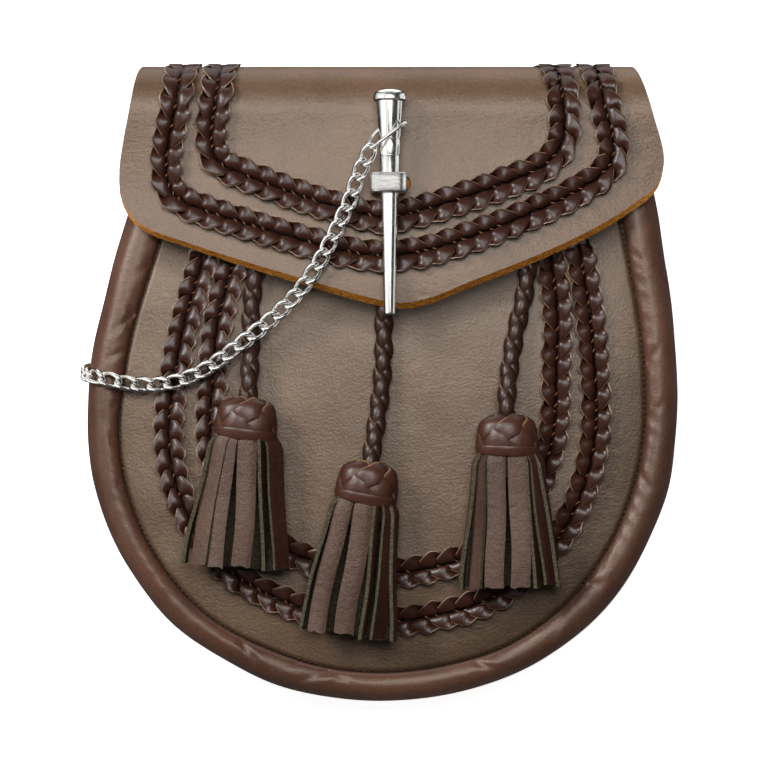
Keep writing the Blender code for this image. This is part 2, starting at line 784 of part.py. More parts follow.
def add_staple(material):
    low = max(front_height(STAPLE_X, STAPLE_Y + s * STAPLE_DEPTH / 2) for s in (-1, 1)) + GAP
    top = pin_height(STAPLE_Y) + STAPLE_HEADROOM + STAPLE_METAL
    made = add_bent_strap(
        "staple", STAPLE_HALF_INSIDE, top - low, STAPLE_METAL, STAPLE_FOOT, STAPLE_DEPTH, material
    )
    made.location = Vector((STAPLE_X, STAPLE_Y, low)) * MM


def cross_hole_ends():
    turns = np.linspace(0, 2 * math.pi, CROSS_HOLE_SIDES, endpoint=False)
    around = [(CROSS_HOLE_RADIUS * math.cos(a), CROSS_HOLE_RADIUS * math.sin(a)) for a in turns]
    return [[(x, y, z) for y, z in around] for x in (-CROSS_HOLE_REACH, CROSS_HOLE_REACH)]


def add_pin(material):
    sections = []
    ring = np.linspace(0, 2 * math.pi, PIN_SIDES, endpoint=False)
    for distance, radius in PIN_PROFILE:
        sections.append([(radius * math.cos(a), radius * math.sin(a), distance) for a in ring])
    pin = add_loft("pin", sections, material)
    tilt = math.atan2(PIN_TIP_Z - PIN_TOP_Z, PIN_TOP_Y - PIN_TIP_Y)
    pin.location = Vector((PIN_X, PIN_TOP_Y, PIN_TOP_Z)) * MM
    pin.rotation_euler = (math.pi / 2 - tilt, 0, 0)
    cutter = add_loft("cross_hole_cutter", cross_hole_ends(), material)
    cutter.location = Vector((PIN_X, CROSS_HOLE_Y, pin_height(CROSS_HOLE_Y))) * MM
    cutter.rotation_euler = (0, 0, CROSS_HOLE_TURN)
    cut_with(pin, cutter)


def wire_sections(line, wire, sides, closed=True):
    """Round sections along a closed line, each square to it."""
    count = len(line)
    sections = []
    for i, point in enumerate(line):
        along = line[(i + 1) % count] - line[i - 1]
        along /= np.linalg.norm(along)
        reference = point - line.mean(axis=0)
        out = reference - along * along.dot(reference)
        out /= np.linalg.norm(out)
        side = np.cross(along, out)
        turns = np.linspace(0, 2 * math.pi, sides, endpoint=False)
        sections.append([point + (out * math.cos(a) + side * math.sin(a)) * wire / 2 for a in turns])
    return sections


def add_pin_ring(material):
    line = smooth_line(RING_LOOP, RING_STEPS, closed=True)[:-1]
    ring = add_loft("pin_ring", wire_sections(line, RING_WIRE, RING_SIDES), material, closed=True)
    ring.location = Vector((PIN_X, CROSS_HOLE_Y, pin_height(CROSS_HOLE_Y))) * MM


def link_mesh_object(name, material):
    turns = np.linspace(0, 2 * math.pi, LINK_SIDES, endpoint=False)
    a, b = (LINK_LENGTH - LINK_WIRE) / 2, (LINK_WIDTH - LINK_WIRE) / 2
    line = np.column_stack([a * np.cos(turns), b * np.sin(turns), LINK_TWIST * np.sin(2 * turns)])
    return add_loft(name, wire_sections(line, LINK_WIRE, WIRE_SIDES), material, closed=True)


def add_chain(material):
    route = smooth_line(CHAIN_ROUTE, 400)
    count = round(line_length(route) / LINK_PITCH) + 1
    places = smooth_line(CHAIN_ROUTE, count)
    ways = tangents(places)
    mesh = None
    for i, (place, way) in enumerate(zip(places, ways)):
        name = f"chain_link_{i + 1:02d}"
        if mesh is None:
            link = link_mesh_object(name, material)
            mesh = link.data
        else:
            link = add_object(name, mesh, material)
        along = Vector(way)
        dropping = ease((-along.z - DROP_START) / DROP_SPAN)
        outward = Vector((0, 0, 1)).lerp(Vector((-1, 0, 0)), dropping)
        across = outward.cross(along).normalized()
        turn = Matrix((along, across, along.cross(across))).transposed().to_4x4()
        link.matrix_local = Matrix.Translation(Vector(place) * MM) @ turn


def add_chain_anchor(material):
    """A small bridge on the gusset's side that the last link hangs in."""
    anchor = add_bent_strap(
        "chain_anchor",
        ANCHOR_HALF_INSIDE,
        ANCHOR_HEIGHT,
        ANCHOR_METAL,
        ANCHOR_FOOT,
        ANCHOR_DEPTH,
        material,
    )
    anchor.location = Vector((ANCHOR_X, ANCHOR_Y, ANCHOR_Z)) * MM
    anchor.rotation_euler = (0, ANCHOR_TILT - math.pi / 2, 0)


clear_scene()
bag = bpy.data.objects.new("bag", None)
bpy.context.scene.collection.objects.link(bag)
bag.location = (-ORIGIN_X * MM, -ORIGIN_Y * MM, 0)

add_back_and_flap(make_material("flap_leather", (0.13, 0.09, 0.07), 0.5))
add_front_panel(make_material("front_leather", (0.15, 0.12, 0.10), 0.5))
add_gusset(make_material("gusset_leather", (0.11, 0.07, 0.05), 0.45))
lace = make_material("lace_leather", (0.045, 0.02, 0.015), 0.3)
add_front_plaits(lace)
add_flap_plaits(lace)
add_belt_loops(make_material("belt_loop_leather", (0.10, 0.06, 0.05), 0.5))
cord_leather = make_material("cord_leather", (0.05, 0.025, 0.02), 0.35)
knot_leather = make_material("knot_leather", (0.11, 0.045, 0.02), 0.4)
strip_leather = make_material("strip_leather", (0.12, 0.07, 0.055), 0.6)
for tassel_row in TASSELS:
    add_cord(tassel_row, cord_leather)
    add_knot(tassel_row, knot_leather)
    add_tassel(tassel_row, strip_leather)
chrome = make_material("chrome", (0.8, 0.8, 0.8), 0.08, metallic=1.0)
add_staple(chrome)
add_pin(chrome)
add_pin_ring(chrome)
add_chain(chrome)
add_chain_anchor(chrome)
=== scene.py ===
import math

import bmesh
import bpy
import numpy as np
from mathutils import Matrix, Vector


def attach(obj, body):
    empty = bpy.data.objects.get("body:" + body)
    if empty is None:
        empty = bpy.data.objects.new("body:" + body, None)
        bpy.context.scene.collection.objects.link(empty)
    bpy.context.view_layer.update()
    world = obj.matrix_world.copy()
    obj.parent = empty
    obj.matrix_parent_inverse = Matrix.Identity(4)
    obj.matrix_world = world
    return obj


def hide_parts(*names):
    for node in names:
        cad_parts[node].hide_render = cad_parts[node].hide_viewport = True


# A leather sporran lying on its back on a white table: the finish of every piece. Lengths are in
# millimetres from the pouch's own centre lines until piece() turns them to metres.
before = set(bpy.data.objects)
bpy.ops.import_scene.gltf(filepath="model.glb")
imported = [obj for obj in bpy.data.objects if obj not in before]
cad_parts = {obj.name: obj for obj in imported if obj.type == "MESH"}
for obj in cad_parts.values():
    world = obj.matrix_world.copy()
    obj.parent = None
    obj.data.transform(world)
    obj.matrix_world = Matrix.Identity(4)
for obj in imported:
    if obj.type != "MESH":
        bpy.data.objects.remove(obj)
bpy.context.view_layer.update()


# ---- The table, the lights and the camera ----
# White paper on a flat table and on a round wall, lit as for a catalogue picture: a soft light over the
# camera, a smaller one from the upper left, and white cards around it. The camera looks down. The
# flat leather is left out of reflections, so that the metal shows the cards down to its edges.

PIXEL = 0.3145e-3  # one pixel of the picture at the height of the flap, in metres
PICTURE = 770
LENS, SENSOR = 200.0, 36.0
FLAP_TOP = 0.030
PAPER_Z = -0.0002  # just clear of the pouch's back
TABLE_HALF, WALL_RADIUS, WALL_HEIGHT, WALL_SIDES = 4.0, 3.9, 4.0, 60


def linear(colour):
    """An sRGB colour such as "#8a5a30" as linear red, green, blue and alpha."""
    parts = [int(colour[i:i + 2], 16) / 255 for i in (1, 3, 5)]
    return (*[c / 12.92 if c <= 0.04045 else ((c + 0.055) / 1.055) ** 2.4 for c in parts], 1.0)


def plug(node, sockets):
    """Gives sockets, by name or number, a value or the output that feeds them."""
    for name, value in sockets.items():
        socket = node.inputs[name.replace("_", " ") if isinstance(name, str) else name]
        if isinstance(value, bpy.types.NodeSocket):
            node.id_data.links.new(value, socket)
        else:
            socket.default_value = value


def add(material, kind, numbered=(), output=0, **settings):
    """Adds a node and gives back one of its outputs. A setting with a capital is a socket."""
    made = material.node_tree.nodes.new("ShaderNode" + kind)
    sockets = dict(numbered)
    for name, value in settings.items():
        if name.islower():
            setattr(made, name, value)
        else:
            sockets[name] = value
    plug(made, sockets)
    return made.outputs[output]


def shade(material, **sockets):
    plug(material.node_tree.nodes["Principled BSDF"], sockets)


def new_material(name, **values):
    """A material whose shader has these constant values."""
    made = bpy.data.materials.new(name)
    made.use_nodes = True
    shade(made, **values)
    return made


def stage_paper(name, points, faces):
    """A surface of white paper around the pouch."""
    mesh = bpy.data.meshes.new(name)
    mesh.from_pydata(points, [], faces)
    mesh.materials.append(paper)
    made = bpy.data.objects.new(name, mesh)
    made.visible_glossy = False
    bpy.context.scene.collection.objects.link(made)
    return made


# Light panels that face the pouch: name, place, size, brightness, whether it is a card, which only
# shows in what shines, and the pieces that it is kept to or screened off from
metal_pieces = bpy.data.collections.new("metal_pieces")
screened_metal = bpy.data.collections.new("screened_metal")
for name, place, size, brightness, card, lit in (
    ("overhead_light", (0.03, 0.38, 1.2), (0.6, 0.52), 8.8, False, screened_metal),
    ("upper_left_light", (-0.9, 0.7, 1.0), (0.45, 0.45), 26.0, False, screened_metal),
    ("overhead_metal_card", (0.13, 0.2, 1.5), (1.3, 1.2), 1.4, True, metal_pieces),
    ("left_board", (-1.3, 0.0, 0.75), (1.4, 1.1), 0.5, True, None),
    ("top_board", (0.0, 1.3, -0.45), (2.0, 1.2), 1.2, True, None),
    ("left_metal_card", (-1.1, 0.0, 0.55), (2.2, 3.0), 0.85, True, metal_pieces),
    ("right_metal_card", (1.3, 0.0, -0.4), (1.6, 1.6), 0.95, True, metal_pieces),
    ("top_metal_card", (0.0, 1.3, 0.1), (2.0, 1.6), 0.6, True, metal_pieces),
):
    light = bpy.data.lights.new(name, "AREA")
    light.shape = "RECTANGLE"
    light.size, light.size_y = size
    light.energy = brightness * math.pi * size[0] * size[1]
    holder = bpy.data.objects.new(name, light)
    bpy.context.scene.collection.objects.link(holder)
    holder.location = place
    holder.rotation_euler = (-Vector(place)).to_track_quat("-Z", "Y").to_euler()
    holder.visible_camera = False
    holder.visible_diffuse = not card
    holder.light_linking.receiver_collection = lit

world = bpy.data.worlds.new("studio")
world.use_nodes = True
plug(world.node_tree.nodes["Background"], {"Color": linear("#ffffff"), "Strength": 0.05})
bpy.context.scene.world = world

# Matt paper with a faint light of its own, as in a picture that is exposed for a white ground
paper = new_material("white_paper", Base_Color=linear("#fafafa"), Roughness=0.9,
                     Emission_Color=linear("#ffffff"), Emission_Strength=0.92)
stage_paper("table", [
    (x * TABLE_HALF, y * TABLE_HALF, PAPER_Z) for x, y in ((-1, -1), (1, -1), (1, 1), (-1, 1))
], [(0, 1, 2, 3)])
wall_turn = [2 * math.pi * side / WALL_SIDES for side in range(WALL_SIDES)]
backdrop = stage_paper("backdrop", [
    (WALL_RADIUS * math.cos(turn), WALL_RADIUS * math.sin(turn), z)
    for z in (PAPER_Z, WALL_HEIGHT) for turn in wall_turn
], [(i, (i + 1) % WALL_SIDES, (i + 1) % WALL_SIDES + WALL_SIDES, i + WALL_SIDES) for i in range(WALL_SIDES)])
backdrop.visible_diffuse = backdrop.visible_shadow = False

camera_data = bpy.data.cameras.new("camera")
camera_data.lens, camera_data.sensor_width = LENS, SENSOR
camera = bpy.data.objects.new("camera", camera_data)
camera.location = (0.00243, -0.0018, FLAP_TOP + PICTURE * PIXEL * LENS / SENSOR)
bpy.context.scene.collection.objects.link(camera)
bpy.context.scene.camera = camera
bpy.context.scene.view_settings.view_transform = "Standard"


# ---- Back panel and flap ----
# One sheet of vegetable-tanned cowhide, about 2.8 mm thick. It makes the back, folds over the top
# and comes down as the flap. Its lower edge is cut at a slant and shows the undyed orange core.

POUCH_CENTRE = np.array((1.8, -0.4, 0.0))  # the pouch's centre lines, from the frame's origin
EDGE_GAP = 0.5
BETWEEN = 12  # steps of a smooth line between two given points
BACK_Z, BACK_THICK = 3.0, 2.8
FOLD_RADIUS, FOLD_Y, FOLD_SWELL = 15.0, 83.5, 1.1
FOLD_Z = BACK_Z + FOLD_RADIUS
FLAP_TIP_Y, FLAP_RISE, FLAP_DROOP, FLAP_HALF_WIDTH = 22.4, 6.8, 2.8, 85.0
CUT_SLANT = 1.9
# Outline of the flap from the fold down to its tip and up again: x, y
FLAP_OUTLINE = (
    (-80, FOLD_Y), (-81.6, 75), (-82.8, 65.5), (-81.8, 55.5), (-75.5, 47.2), (-59.4, 41),
    (-40.1, 34.6), (-22, 29.1), (-5.3, 24.3), (5.5, 22.4), (15.3, 24.2), (28, 29.3),
    (49.3, 37.8), (66.5, 46), (79.6, 54.2), (86.4, 60.5), (88.2, 70.5), (84.9, FOLD_Y),
)
# The leather over the fold: y measured along the leather, left edge, right edge
FOLD_EDGES = (
    (FOLD_Y, -80, 84.9),
    (FOLD_Y + 0.50 * math.pi * FOLD_RADIUS, -75.5, 78.5),
    (FOLD_Y + 0.85 * math.pi * FOLD_RADIUS, -67, 75.5),
    (FOLD_Y + math.pi * FOLD_RADIUS, -62.6, 73),
)
# Outline of the whole pouch: y, left, right; then its lowest point
OUTLINE = (
    (80, -71.4, 81.9), (48, -80.6, 86.9), (20, -88.3, 91), (0, -91.6, 92.4),
    (-18, -92.5, 91.8), (-36, -89.6, 88), (-55, -82, 80), (-72, -70, 68.2),
    (-84, -56.2, 54.8), (-93, -38, 39), (-98.6, -20, 18.5),
)
OUTLINE_BOTTOM = (-1.0, -100.4)
# How far the seam lies in from that outline: y, width
ROLL_WIDTH = ((-101, 8.1), (-10, 9.3), (48, 10.6), (90, 11))
SLOT_MIDDLE, SLOT_LENGTH, SLOT_WIDTH = (2.6, 61.75), 12.6, 6.2
SLOT_CUTS = ((33.0, -0.4), (41.5, 0.8))  # height of each end of the slot's cutter, and its growth


def distance_along(line):
    return np.concatenate([[0.0], np.cumsum(np.linalg.norm(np.diff(line, axis=0), axis=1))])


def read_line(along, line, wanted):
    """Points of a line at the wanted distances along it."""
    return np.stack([np.interp(wanted, along, values) for values in line.T], -1)


def smooth_line(points, count, closed=False):
    """Points at equal steps along a smooth curve through the given ones."""
    points = np.array(points, float)
    if closed:
        padded = np.vstack([points[-1:], points, points[:2]])
    else:
        padded = np.vstack([2 * points[0] - points[1], points, 2 * points[-1] - points[-2]])
    t = np.linspace(0, 1, BETWEEN, endpoint=False)[:, None]
    stretches = []
    for before, start, end, after in zip(padded, padded[1:], padded[2:], padded[3:]):
        bend = before - 2.5 * start + 2 * end - 0.5 * after
        turn = 1.5 * (start - end) + 0.5 * (after - before)
        stretches.append(start + 0.5 * t * (end - before) + t**2 * bend + t**3 * turn)
    fine = np.vstack(stretches + [points[:1] if closed else points[-1:]])
    along = distance_along(fine)
    return read_line(along, fine, np.linspace(0, along[-1], count))


def read_table(rows, key, column):
    """A smooth value from a table whose first column rises."""
    fine = smooth_line([(row[0], row[column]) for row in rows], BETWEEN * len(rows))
    return np.interp(key, fine[:, 0], fine[:, 1])


def unit(vectors):
    return vectors / np.linalg.norm(vectors, axis=-1, keepdims=True)


def tangents(line):
    return unit(np.gradient(line, axis=0))


def to_right(way):
    """The directions to the right of the way a line runs."""
    return np.column_stack([way[:, 1], -way[:, 0]])


def inset(line, distances):
    """The line moved sideways, to the left of the way it runs."""
    return line - to_right(tangents(line)) * np.reshape(distances, (-1, 1))


def full_turn(count):
    return np.linspace(0, 2 * math.pi, count, endpoint=False)


def ease(t):
    t = np.clip(t, 0, 1)
    return t * t * (3 - 2 * t)


def flap_height(x, y):
    down = (FOLD_Y - y) / (FOLD_Y - FLAP_TIP_Y)
    droop = FLAP_DROOP * np.abs(x / FLAP_HALF_WIDTH) ** 2.5 * ease(2 * down)
    return FOLD_Z + FOLD_RADIUS + FLAP_RISE * ease(down) - droop


def on_flap(x, y, lift=0.0):
    """Points over the flap, with y measured along the leather and on over the fold."""
    turn = np.maximum(0.0, (y - FOLD_Y) / FOLD_RADIUS)
    radius = FOLD_RADIUS + lift * (1 - 0.7 * np.sin(turn) ** 2) + FOLD_SWELL * np.sin(turn) ** 2
    flat_z = flap_height(x, np.minimum(y, FOLD_Y)) + lift
    places_y = np.where(turn == 0, y, FOLD_Y + radius * np.sin(turn))
    return np.stack([x, places_y, np.where(turn == 0, flat_z, FOLD_Z + radius * np.cos(turn))], -1)


def outline_line(count):
    left = [(row[1], row[0]) for row in OUTLINE]
    right = [(row[2], row[0]) for row in reversed(OUTLINE)]
    return smooth_line(left + [OUTLINE_BOTTOM] + right, count)


def seam_line(count, clearance=0.0):
    """The stitched line between the front panel and the gusset, or one just inside it."""
    line = outline_line(count)
    return inset(line, read_table(ROLL_WIDTH, line[:, 1], 1) + clearance)


def edge_shares(count):
    """Shares of a row that lie closer together towards both of its ends."""
    even = np.linspace(0, 1, count)
    return 0.3 * even + 0.7 * (0.5 - 0.5 * np.cos(math.pi * even))


def rows_across(line, shares):
    """Rows of points between the left and right halves of a line that runs down and up again."""
    half = len(line) // 2 + 1
    left, right = line[:half, None], line[::-1][:half, None]
    return left * (1 - shares[None, :, None]) + right * shares[None, :, None]


def ripples(x, y, size, seed, waves=10):
    """Smooth random waves of about one size, mostly between -1 and 1."""
    chance = np.random.default_rng(seed)
    total = np.zeros(np.broadcast(x, y).shape)
    for turn, phase, scale in chance.uniform((0, 0, 0.7), (math.pi, 6.28, 1.4), (waves, 3)):
        total += np.sin((x * math.cos(turn) + y * math.sin(turn)) * 6.28 / (size * scale) + phase)
    return total / math.sqrt(waves)


def grid_cells(index):
    """Four-sided faces between neighbours in a grid of point numbers."""
    corners = (index[:-1, :-1], index[:-1, 1:], index[1:, 1:], index[1:, :-1])
    return np.stack(corners, -1).reshape(-1, 4)


def piece(name, points, faces, materials, finishes=None, sharp=50, flat_map=None):
    """One object from points in millimetres, with repeated points joined and its faces turned out."""
    mesh = bpy.data.meshes.new(name)
    places = (np.asarray(points, float).reshape(-1, 3) + POUCH_CENTRE) * 0.001
    mesh.from_pydata(places.tolist(), [], [[int(i) for i in face] for face in faces])
    for material in materials:
        mesh.materials.append(material)
    if finishes is not None:
        mesh.polygons.foreach_set("material_index", np.asarray(finishes, np.int32))
    if flat_map is not None:
        corners = np.empty(len(mesh.loops), np.int32)
        mesh.loops.foreach_get("vertex_index", corners)
        layer = mesh.uv_layers.new(name="lengthwise")
        layer.data.foreach_set("uv", np.asarray(flat_map, np.float32)[corners].ravel())
    body = bmesh.new()
    body.from_mesh(mesh)
    bmesh.ops.remove_doubles(body, verts=body.verts, dist=1e-6)
    bmesh.ops.recalc_face_normals(body, faces=body.faces)
    body.to_mesh(mesh)
    body.free()
    mesh.shade_smooth()
    mesh.set_sharp_from_angle(angle=math.radians(sharp))
    made = bpy.data.objects.new(name, mesh)
    bpy.context.scene.collection.objects.link(made)
    return made


def dress(made, node=None):
    """The piece rides on the pouch and stands in for the node, which is hidden."""
    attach(made, "root")
    if node:
        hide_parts(node)


def leather_sheet(name, outer, inner, materials, edge_and_shade_distance=None):
    """A sheet between two grids of points, with materials for its outside, cut edge and inside.
    The last argument is how far each point is from the sheet's rubbed edge, made shorter where painted shade
    darkens it."""
    rows, columns = outer.shape[:2]
    count = rows * columns
    index = np.arange(count).reshape(rows, columns)
    cells = grid_cells(index)
    rim = np.concatenate([index[0], index[1:, -1], index[-1, -2::-1], index[-2:0:-1, 0]])
    walls = np.stack([rim, np.roll(rim, -1), np.roll(rim, -1) + count, rim + count], -1)
    finishes = np.repeat([0, 1, 2], [len(cells), len(walls), len(cells)])
    points = np.vstack([outer.reshape(-1, 3), inner.reshape(-1, 3)])
    distance = np.full(count, 99.0) if edge_and_shade_distance is None else edge_and_shade_distance.ravel()
    flat_map = np.tile(distance, 2)[:, None] * (1, 0)
    faces = np.vstack([cells, walls, cells + count])
    return piece(name, points, faces, materials, finishes, flat_map=flat_map)


def leather(name, colour, worn, roughness, shine, grain_height, wrinkle=0.12, grain=0.8, fold=9.0,
            fold_height=0.2, edge_and_shade_reach=None):
    """Dyed and waxed hide: pores break up a soft shine, and the dye is thinner where it is worn.
    Its pores are about 0.3 mm, drawn coarser here so that they show. The hide is darker and duller
    within the given reach of its rubbed edge and where painted shade is laid on through the same map."""
    made = new_material(name, Roughness=roughness, IOR=1.5, Specular_IOR_Level=shine,
                        Specular_Tint=linear("#fff4e7"))
    place = add(made, "TexCoord", output="Object")
    patches = add(made, "TexNoise", Vector=place, Scale=1000 / 26, Detail=5, Roughness=0.6)
    pores = add(made, "TexNoise", Vector=place, Scale=1000 / grain, Detail=2, Roughness=0.6)
    both = add(made, "Math", {0: patches, 1: pores}, operation="ADD")
    share = add(made, "MapRange", Value=both, From_Min=0.75, From_Max=1.25)
    dye = add(made, "Mix", {0: share, 6: linear(colour), 7: linear(worn)}, 2, data_type="RGBA")
    if edge_and_shade_reach:
        # Darker dye and duller shine towards the rubbed edge and where painted shade is laid on
        edge_and_shade_map = add(made, "SeparateXYZ", {0: add(made, "UVMap", uv_map="lengthwise")}, "X")
        dark = add(made, "MapRange", Value=edge_and_shade_map, From_Max=edge_and_shade_reach, To_Min=0.5)
        dye = add(made, "Mix", {0: 1, 6: dye, 7: dark}, 2, data_type="RGBA", blend_type="MULTIPLY")
        dull = add(made, "MapRange", Value=edge_and_shade_map, From_Max=edge_and_shade_reach, To_Min=0.45 * shine, To_Max=shine)
        shade(made, Specular_IOR_Level=dull)
    folds = add(made, "TexNoise", Vector=place, Scale=1000 / fold, Detail=4, Roughness=0.55, Distortion=0.6)
    bumps = add(made, "Bump", Height=folds, Distance=0.001 * fold_height)
    drawn = add(made, "Mapping", Vector=place, Rotation=(0, 0, 0.35), Scale=(1000 / 7, 1000 / 1.9, 1000 / 4))
    lines = add(made, "TexNoise", Vector=drawn, Scale=1, Detail=2, Distortion=0.8)
    slack = add(made, "MapRange", Value=patches, From_Min=0.42, From_Max=0.6)
    pulled = add(made, "Math", {0: lines, 1: slack}, operation="MULTIPLY")
    bumps = add(made, "Bump", Height=pulled, Distance=0.001 * wrinkle, Normal=bumps)
    bumps = add(made, "Bump", Height=pores, Distance=0.001 * grain_height, Normal=bumps)
    shade(made, Base_Color=dye, Normal=bumps)
    return made


def rough_leather(name, dark, light, size):
    """Hide without its grain, cut or split: short fibres that scatter light with no shine."""
    made = new_material(name, Roughness=0.85, IOR=1.45, Specular_IOR_Level=0.2)
    place = add(made, "TexCoord", output="Object")
    fibres = add(made, "TexNoise", Vector=place, Scale=1000 / size, Detail=4, Roughness=0.7)
    share = add(made, "MapRange", Value=fibres, From_Min=0.35, From_Max=0.65)
    tone = add(made, "Mix", {0: share, 6: linear(dark), 7: linear(light)}, 2, data_type="RGBA")
    shade(made, Base_Color=tone, Normal=add(made, "Bump", Height=fibres, Distance=0.00025))
    return made


FLAP_SHARES = edge_shares(91)
back_rows = rows_across(seam_line(119, EDGE_GAP), FLAP_SHARES)[::-1]
back_outer = np.dstack([back_rows, np.full(back_rows.shape[:2], BACK_Z)])
turns = np.linspace(math.pi, 0, 27)[:-1, None]
fold_y = FOLD_Y + turns * FOLD_RADIUS
fold_left, fold_right = (read_table(FOLD_EDGES, fold_y, column) for column in (1, 2))
fold_x = fold_left * (1 - FLAP_SHARES) + fold_right * FLAP_SHARES
fold_outer = on_flap(fold_x, fold_y + 0 * fold_x)
fold_normal = np.dstack([0 * fold_x, np.sin(turns) + 0 * fold_x, np.cos(turns) + 0 * fold_x])
whole = smooth_line(FLAP_OUTLINE, 2 * 82 - 1)
slant = CUT_SLANT * np.clip(tangents(whole)[:, 0], 0, 1)
cut = inset(whole, slant * (0.8 + 0.2 * ease((whole[:, 0] + 70) / 60)))
whole = inset(whole, 0.1 * ripples(whole[:, 0], 3 * whole[:, 1], 3.1, 4))
cut_rows, whole_rows = rows_across(cut, FLAP_SHARES), rows_across(whole, FLAP_SHARES)
flap_outer = on_flap(cut_rows[..., 0], cut_rows[..., 1])
flap_inner = on_flap(whole_rows[..., 0], whole_rows[..., 1]) - (0, 0, BACK_THICK)
sheet_outer = np.vstack([back_outer, fold_outer, flap_outer])
sheet_inner = np.vstack([back_outer + (0, 0, BACK_THICK), fold_outer - fold_normal * BACK_THICK, flap_inner])
on_top = sheet_outer[..., 2] > FOLD_Z
sheet_outer[..., 2] += 0.12 * ripples(sheet_outer[..., 0], sheet_outer[..., 1], 34, 3) * on_top

# Smooth cowhide with a wax finish, which gives a broad and greyish sheen
flap_leather = leather("waxed_brown_hide", "#4e3622", "#694d37", roughness=0.45, shine=0.9, grain_height=0.11)
# The undyed core that a knife lays bare: matt and bright
cut_edge = rough_leather("raw_orange_cut_edge", "#9a510f", "#e39b3e", size=1.0)
# The inside of the hide: matt and fibrous
flesh_side = rough_leather("brown_flesh_side", "#4a3a2c", "#6a5542", size=1.2)
flap = leather_sheet("flap_and_back", sheet_outer, sheet_inner, [flap_leather, cut_edge, flesh_side])

# The slot's round-ended cutter is a little wider at the top, so that its wall shows from the front.
slot_turns = full_turn(48)
slot_side = np.sign(np.cos(slot_turns)) * (SLOT_LENGTH - SLOT_WIDTH) / 2
slot_ends = []
for height, grow in SLOT_CUTS:
    radius = SLOT_WIDTH / 2 + 0.3 * grow
    slot_ends.append(np.column_stack([
        SLOT_MIDDLE[0] + slot_side + grow * (np.cos(slot_turns) > 0) + radius * np.cos(slot_turns),
        SLOT_MIDDLE[1] + radius * np.sin(slot_turns), 0 * slot_turns + height,
    ]))


def rings_round(line, side, up, radius, sides):
    """Rings of points round a line, in the plane of side and up."""
    turn = full_turn(sides)[:, None]
    return line[:, None] + (side[:, None] * np.cos(turn) + up[:, None] * np.sin(turn)) * radius


def ring_faces(count, sides, closed=False):
    """Faces between rings of points, with a cap at each end unless they close on themselves."""
    index = np.arange(count * sides).reshape(count, sides)
    index = np.hstack([index, index[:, :1]])
    if closed:
        return grid_cells(np.vstack([index, index[:1]])).tolist()
    return grid_cells(index).tolist() + [index[0, :-1].tolist(), index[-1, :-1].tolist()]


def cut_with(target, cutter):
    """Cuts a piece with a solid of its own, which leaves its material on the cut."""
    change = target.modifiers.new("cut", "BOOLEAN")
    change.operation, change.solver, change.object = "DIFFERENCE", "EXACT", cutter
    bpy.context.view_layer.update()
    target.data = bpy.data.meshes.new_from_object(
        target.evaluated_get(bpy.context.evaluated_depsgraph_get()))
    target.modifiers.clear()
    bpy.data.objects.remove(cutter)


cut_with(flap, piece(
    "slot_cutter", np.vstack(slot_ends), ring_faces(2, 48), [flap_leather, cut_edge], [1] * 50))
flap.data.set_sharp_from_angle(angle=math.radians(50))
flap.visible_glossy = False
dress(flap, "back_and_flap")


# ---- Gusset ----
# A band of softer, glossier hide, 1.6 mm thick, that is rolled over piping at the front and at the
# back. It is stitched to the front panel with its seam turned in, which puckers it along the seam.

GUSSET_THICK, FRONT_THICK, GAP = 1.6, 2.2, 0.3
# Height of the front panel at the seam: y, z
FRONT_RISE = ((-101, 27.8), (-92, 28.3), (-50, 29.6), (0, 29), (40, 26.2), (80, 21.4))
CROWN, CROWN_HALF_WIDTH, CROWN_HALF_HEIGHT = 2.6, 84.0, 92.0
# Section from the lip under the front panel to the lip on the back panel: outward from the seam,
# height, and 1 where the height is measured from the front panel
GUSSET_SECTION = np.array((
    (-4, -2.7, 1), (0.1, -2.7, 1), (-0.25, -0.9, 1), (0.35, 0.8, 1), (1.8, 1.9, 1), (4, 2.2, 1),
    (7, 0.6, 1), (8.9, -5, 1), (8.2, -10, 1), (9.3, 9, 0), (8.4, 3.4, 0), (6.2, 0.05, 0),
    (3.2, 0.05, 0), (0.9, 2, 0),
    (0.3, BACK_Z + BACK_THICK + GAP, 0), (-4, BACK_Z + BACK_THICK + GAP, 0),
))
SECTION_WIDTH = 9.0
# How much fuller the stuffed band is than its outline: y, left, right
GUSSET_SWELL = (
    (-101, 1.2, 1.2), (-93, 1.2, 0.9), (-84, 0.8, 1), (-72, 0.9, 1.5), (-55, 0.8, 1.7),
    (-36, 0.7, 1.5), (-18, 0.9, 0.6), (0, 1.1, 0.4), (20, 1.5, 0.9), (48, 1.4, 0.8),
    (80, 1, 0.7),
)


def front_height(x, y):
    """Height of the front panel's outer face."""
    across = 1 - (x / CROWN_HALF_WIDTH) ** 2
    down = 1 - (np.minimum(y, 0) / CROWN_HALF_HEIGHT) ** 2
    return read_table(FRONT_RISE, y, 1) + CROWN * across * down


def offset_right(path, distance):
    """The open path moved to the right of the way it runs, with square corners kept."""
    steps = unit(np.diff(path, axis=0))
    rights = to_right(steps)
    corner = rights[:-1] + rights[1:]
    middle = path[1:-1] + corner * distance * 2 / (corner**2).sum(1)[:, None]
    return np.vstack([path[0] + rights[0] * distance, middle, path[-1] + rights[-1] * distance])


def rolled(path, count):
    """The section with its two lips left straight and its rolls drawn round."""
    return np.vstack([path[:2], smooth_line(path[2:-2], count), path[-2:]])


GUSSET_RINGS = 721
gusset_line = outline_line(GUSSET_RINGS)
gusset_out = to_right(tangents(gusset_line))
gusset_width = read_table(ROLL_WIDTH, gusset_line[:, 1], 1)
gusset_seam = gusset_line - gusset_out * gusset_width[:, None]
left_swell, right_swell = (read_table(GUSSET_SWELL, gusset_line[:, 1], column) for column in (1, 2))
gusset_width = gusset_width + np.where(gusset_line[:, 0] < 0, left_swell, right_swell)
gusset_run = distance_along(gusset_seam)
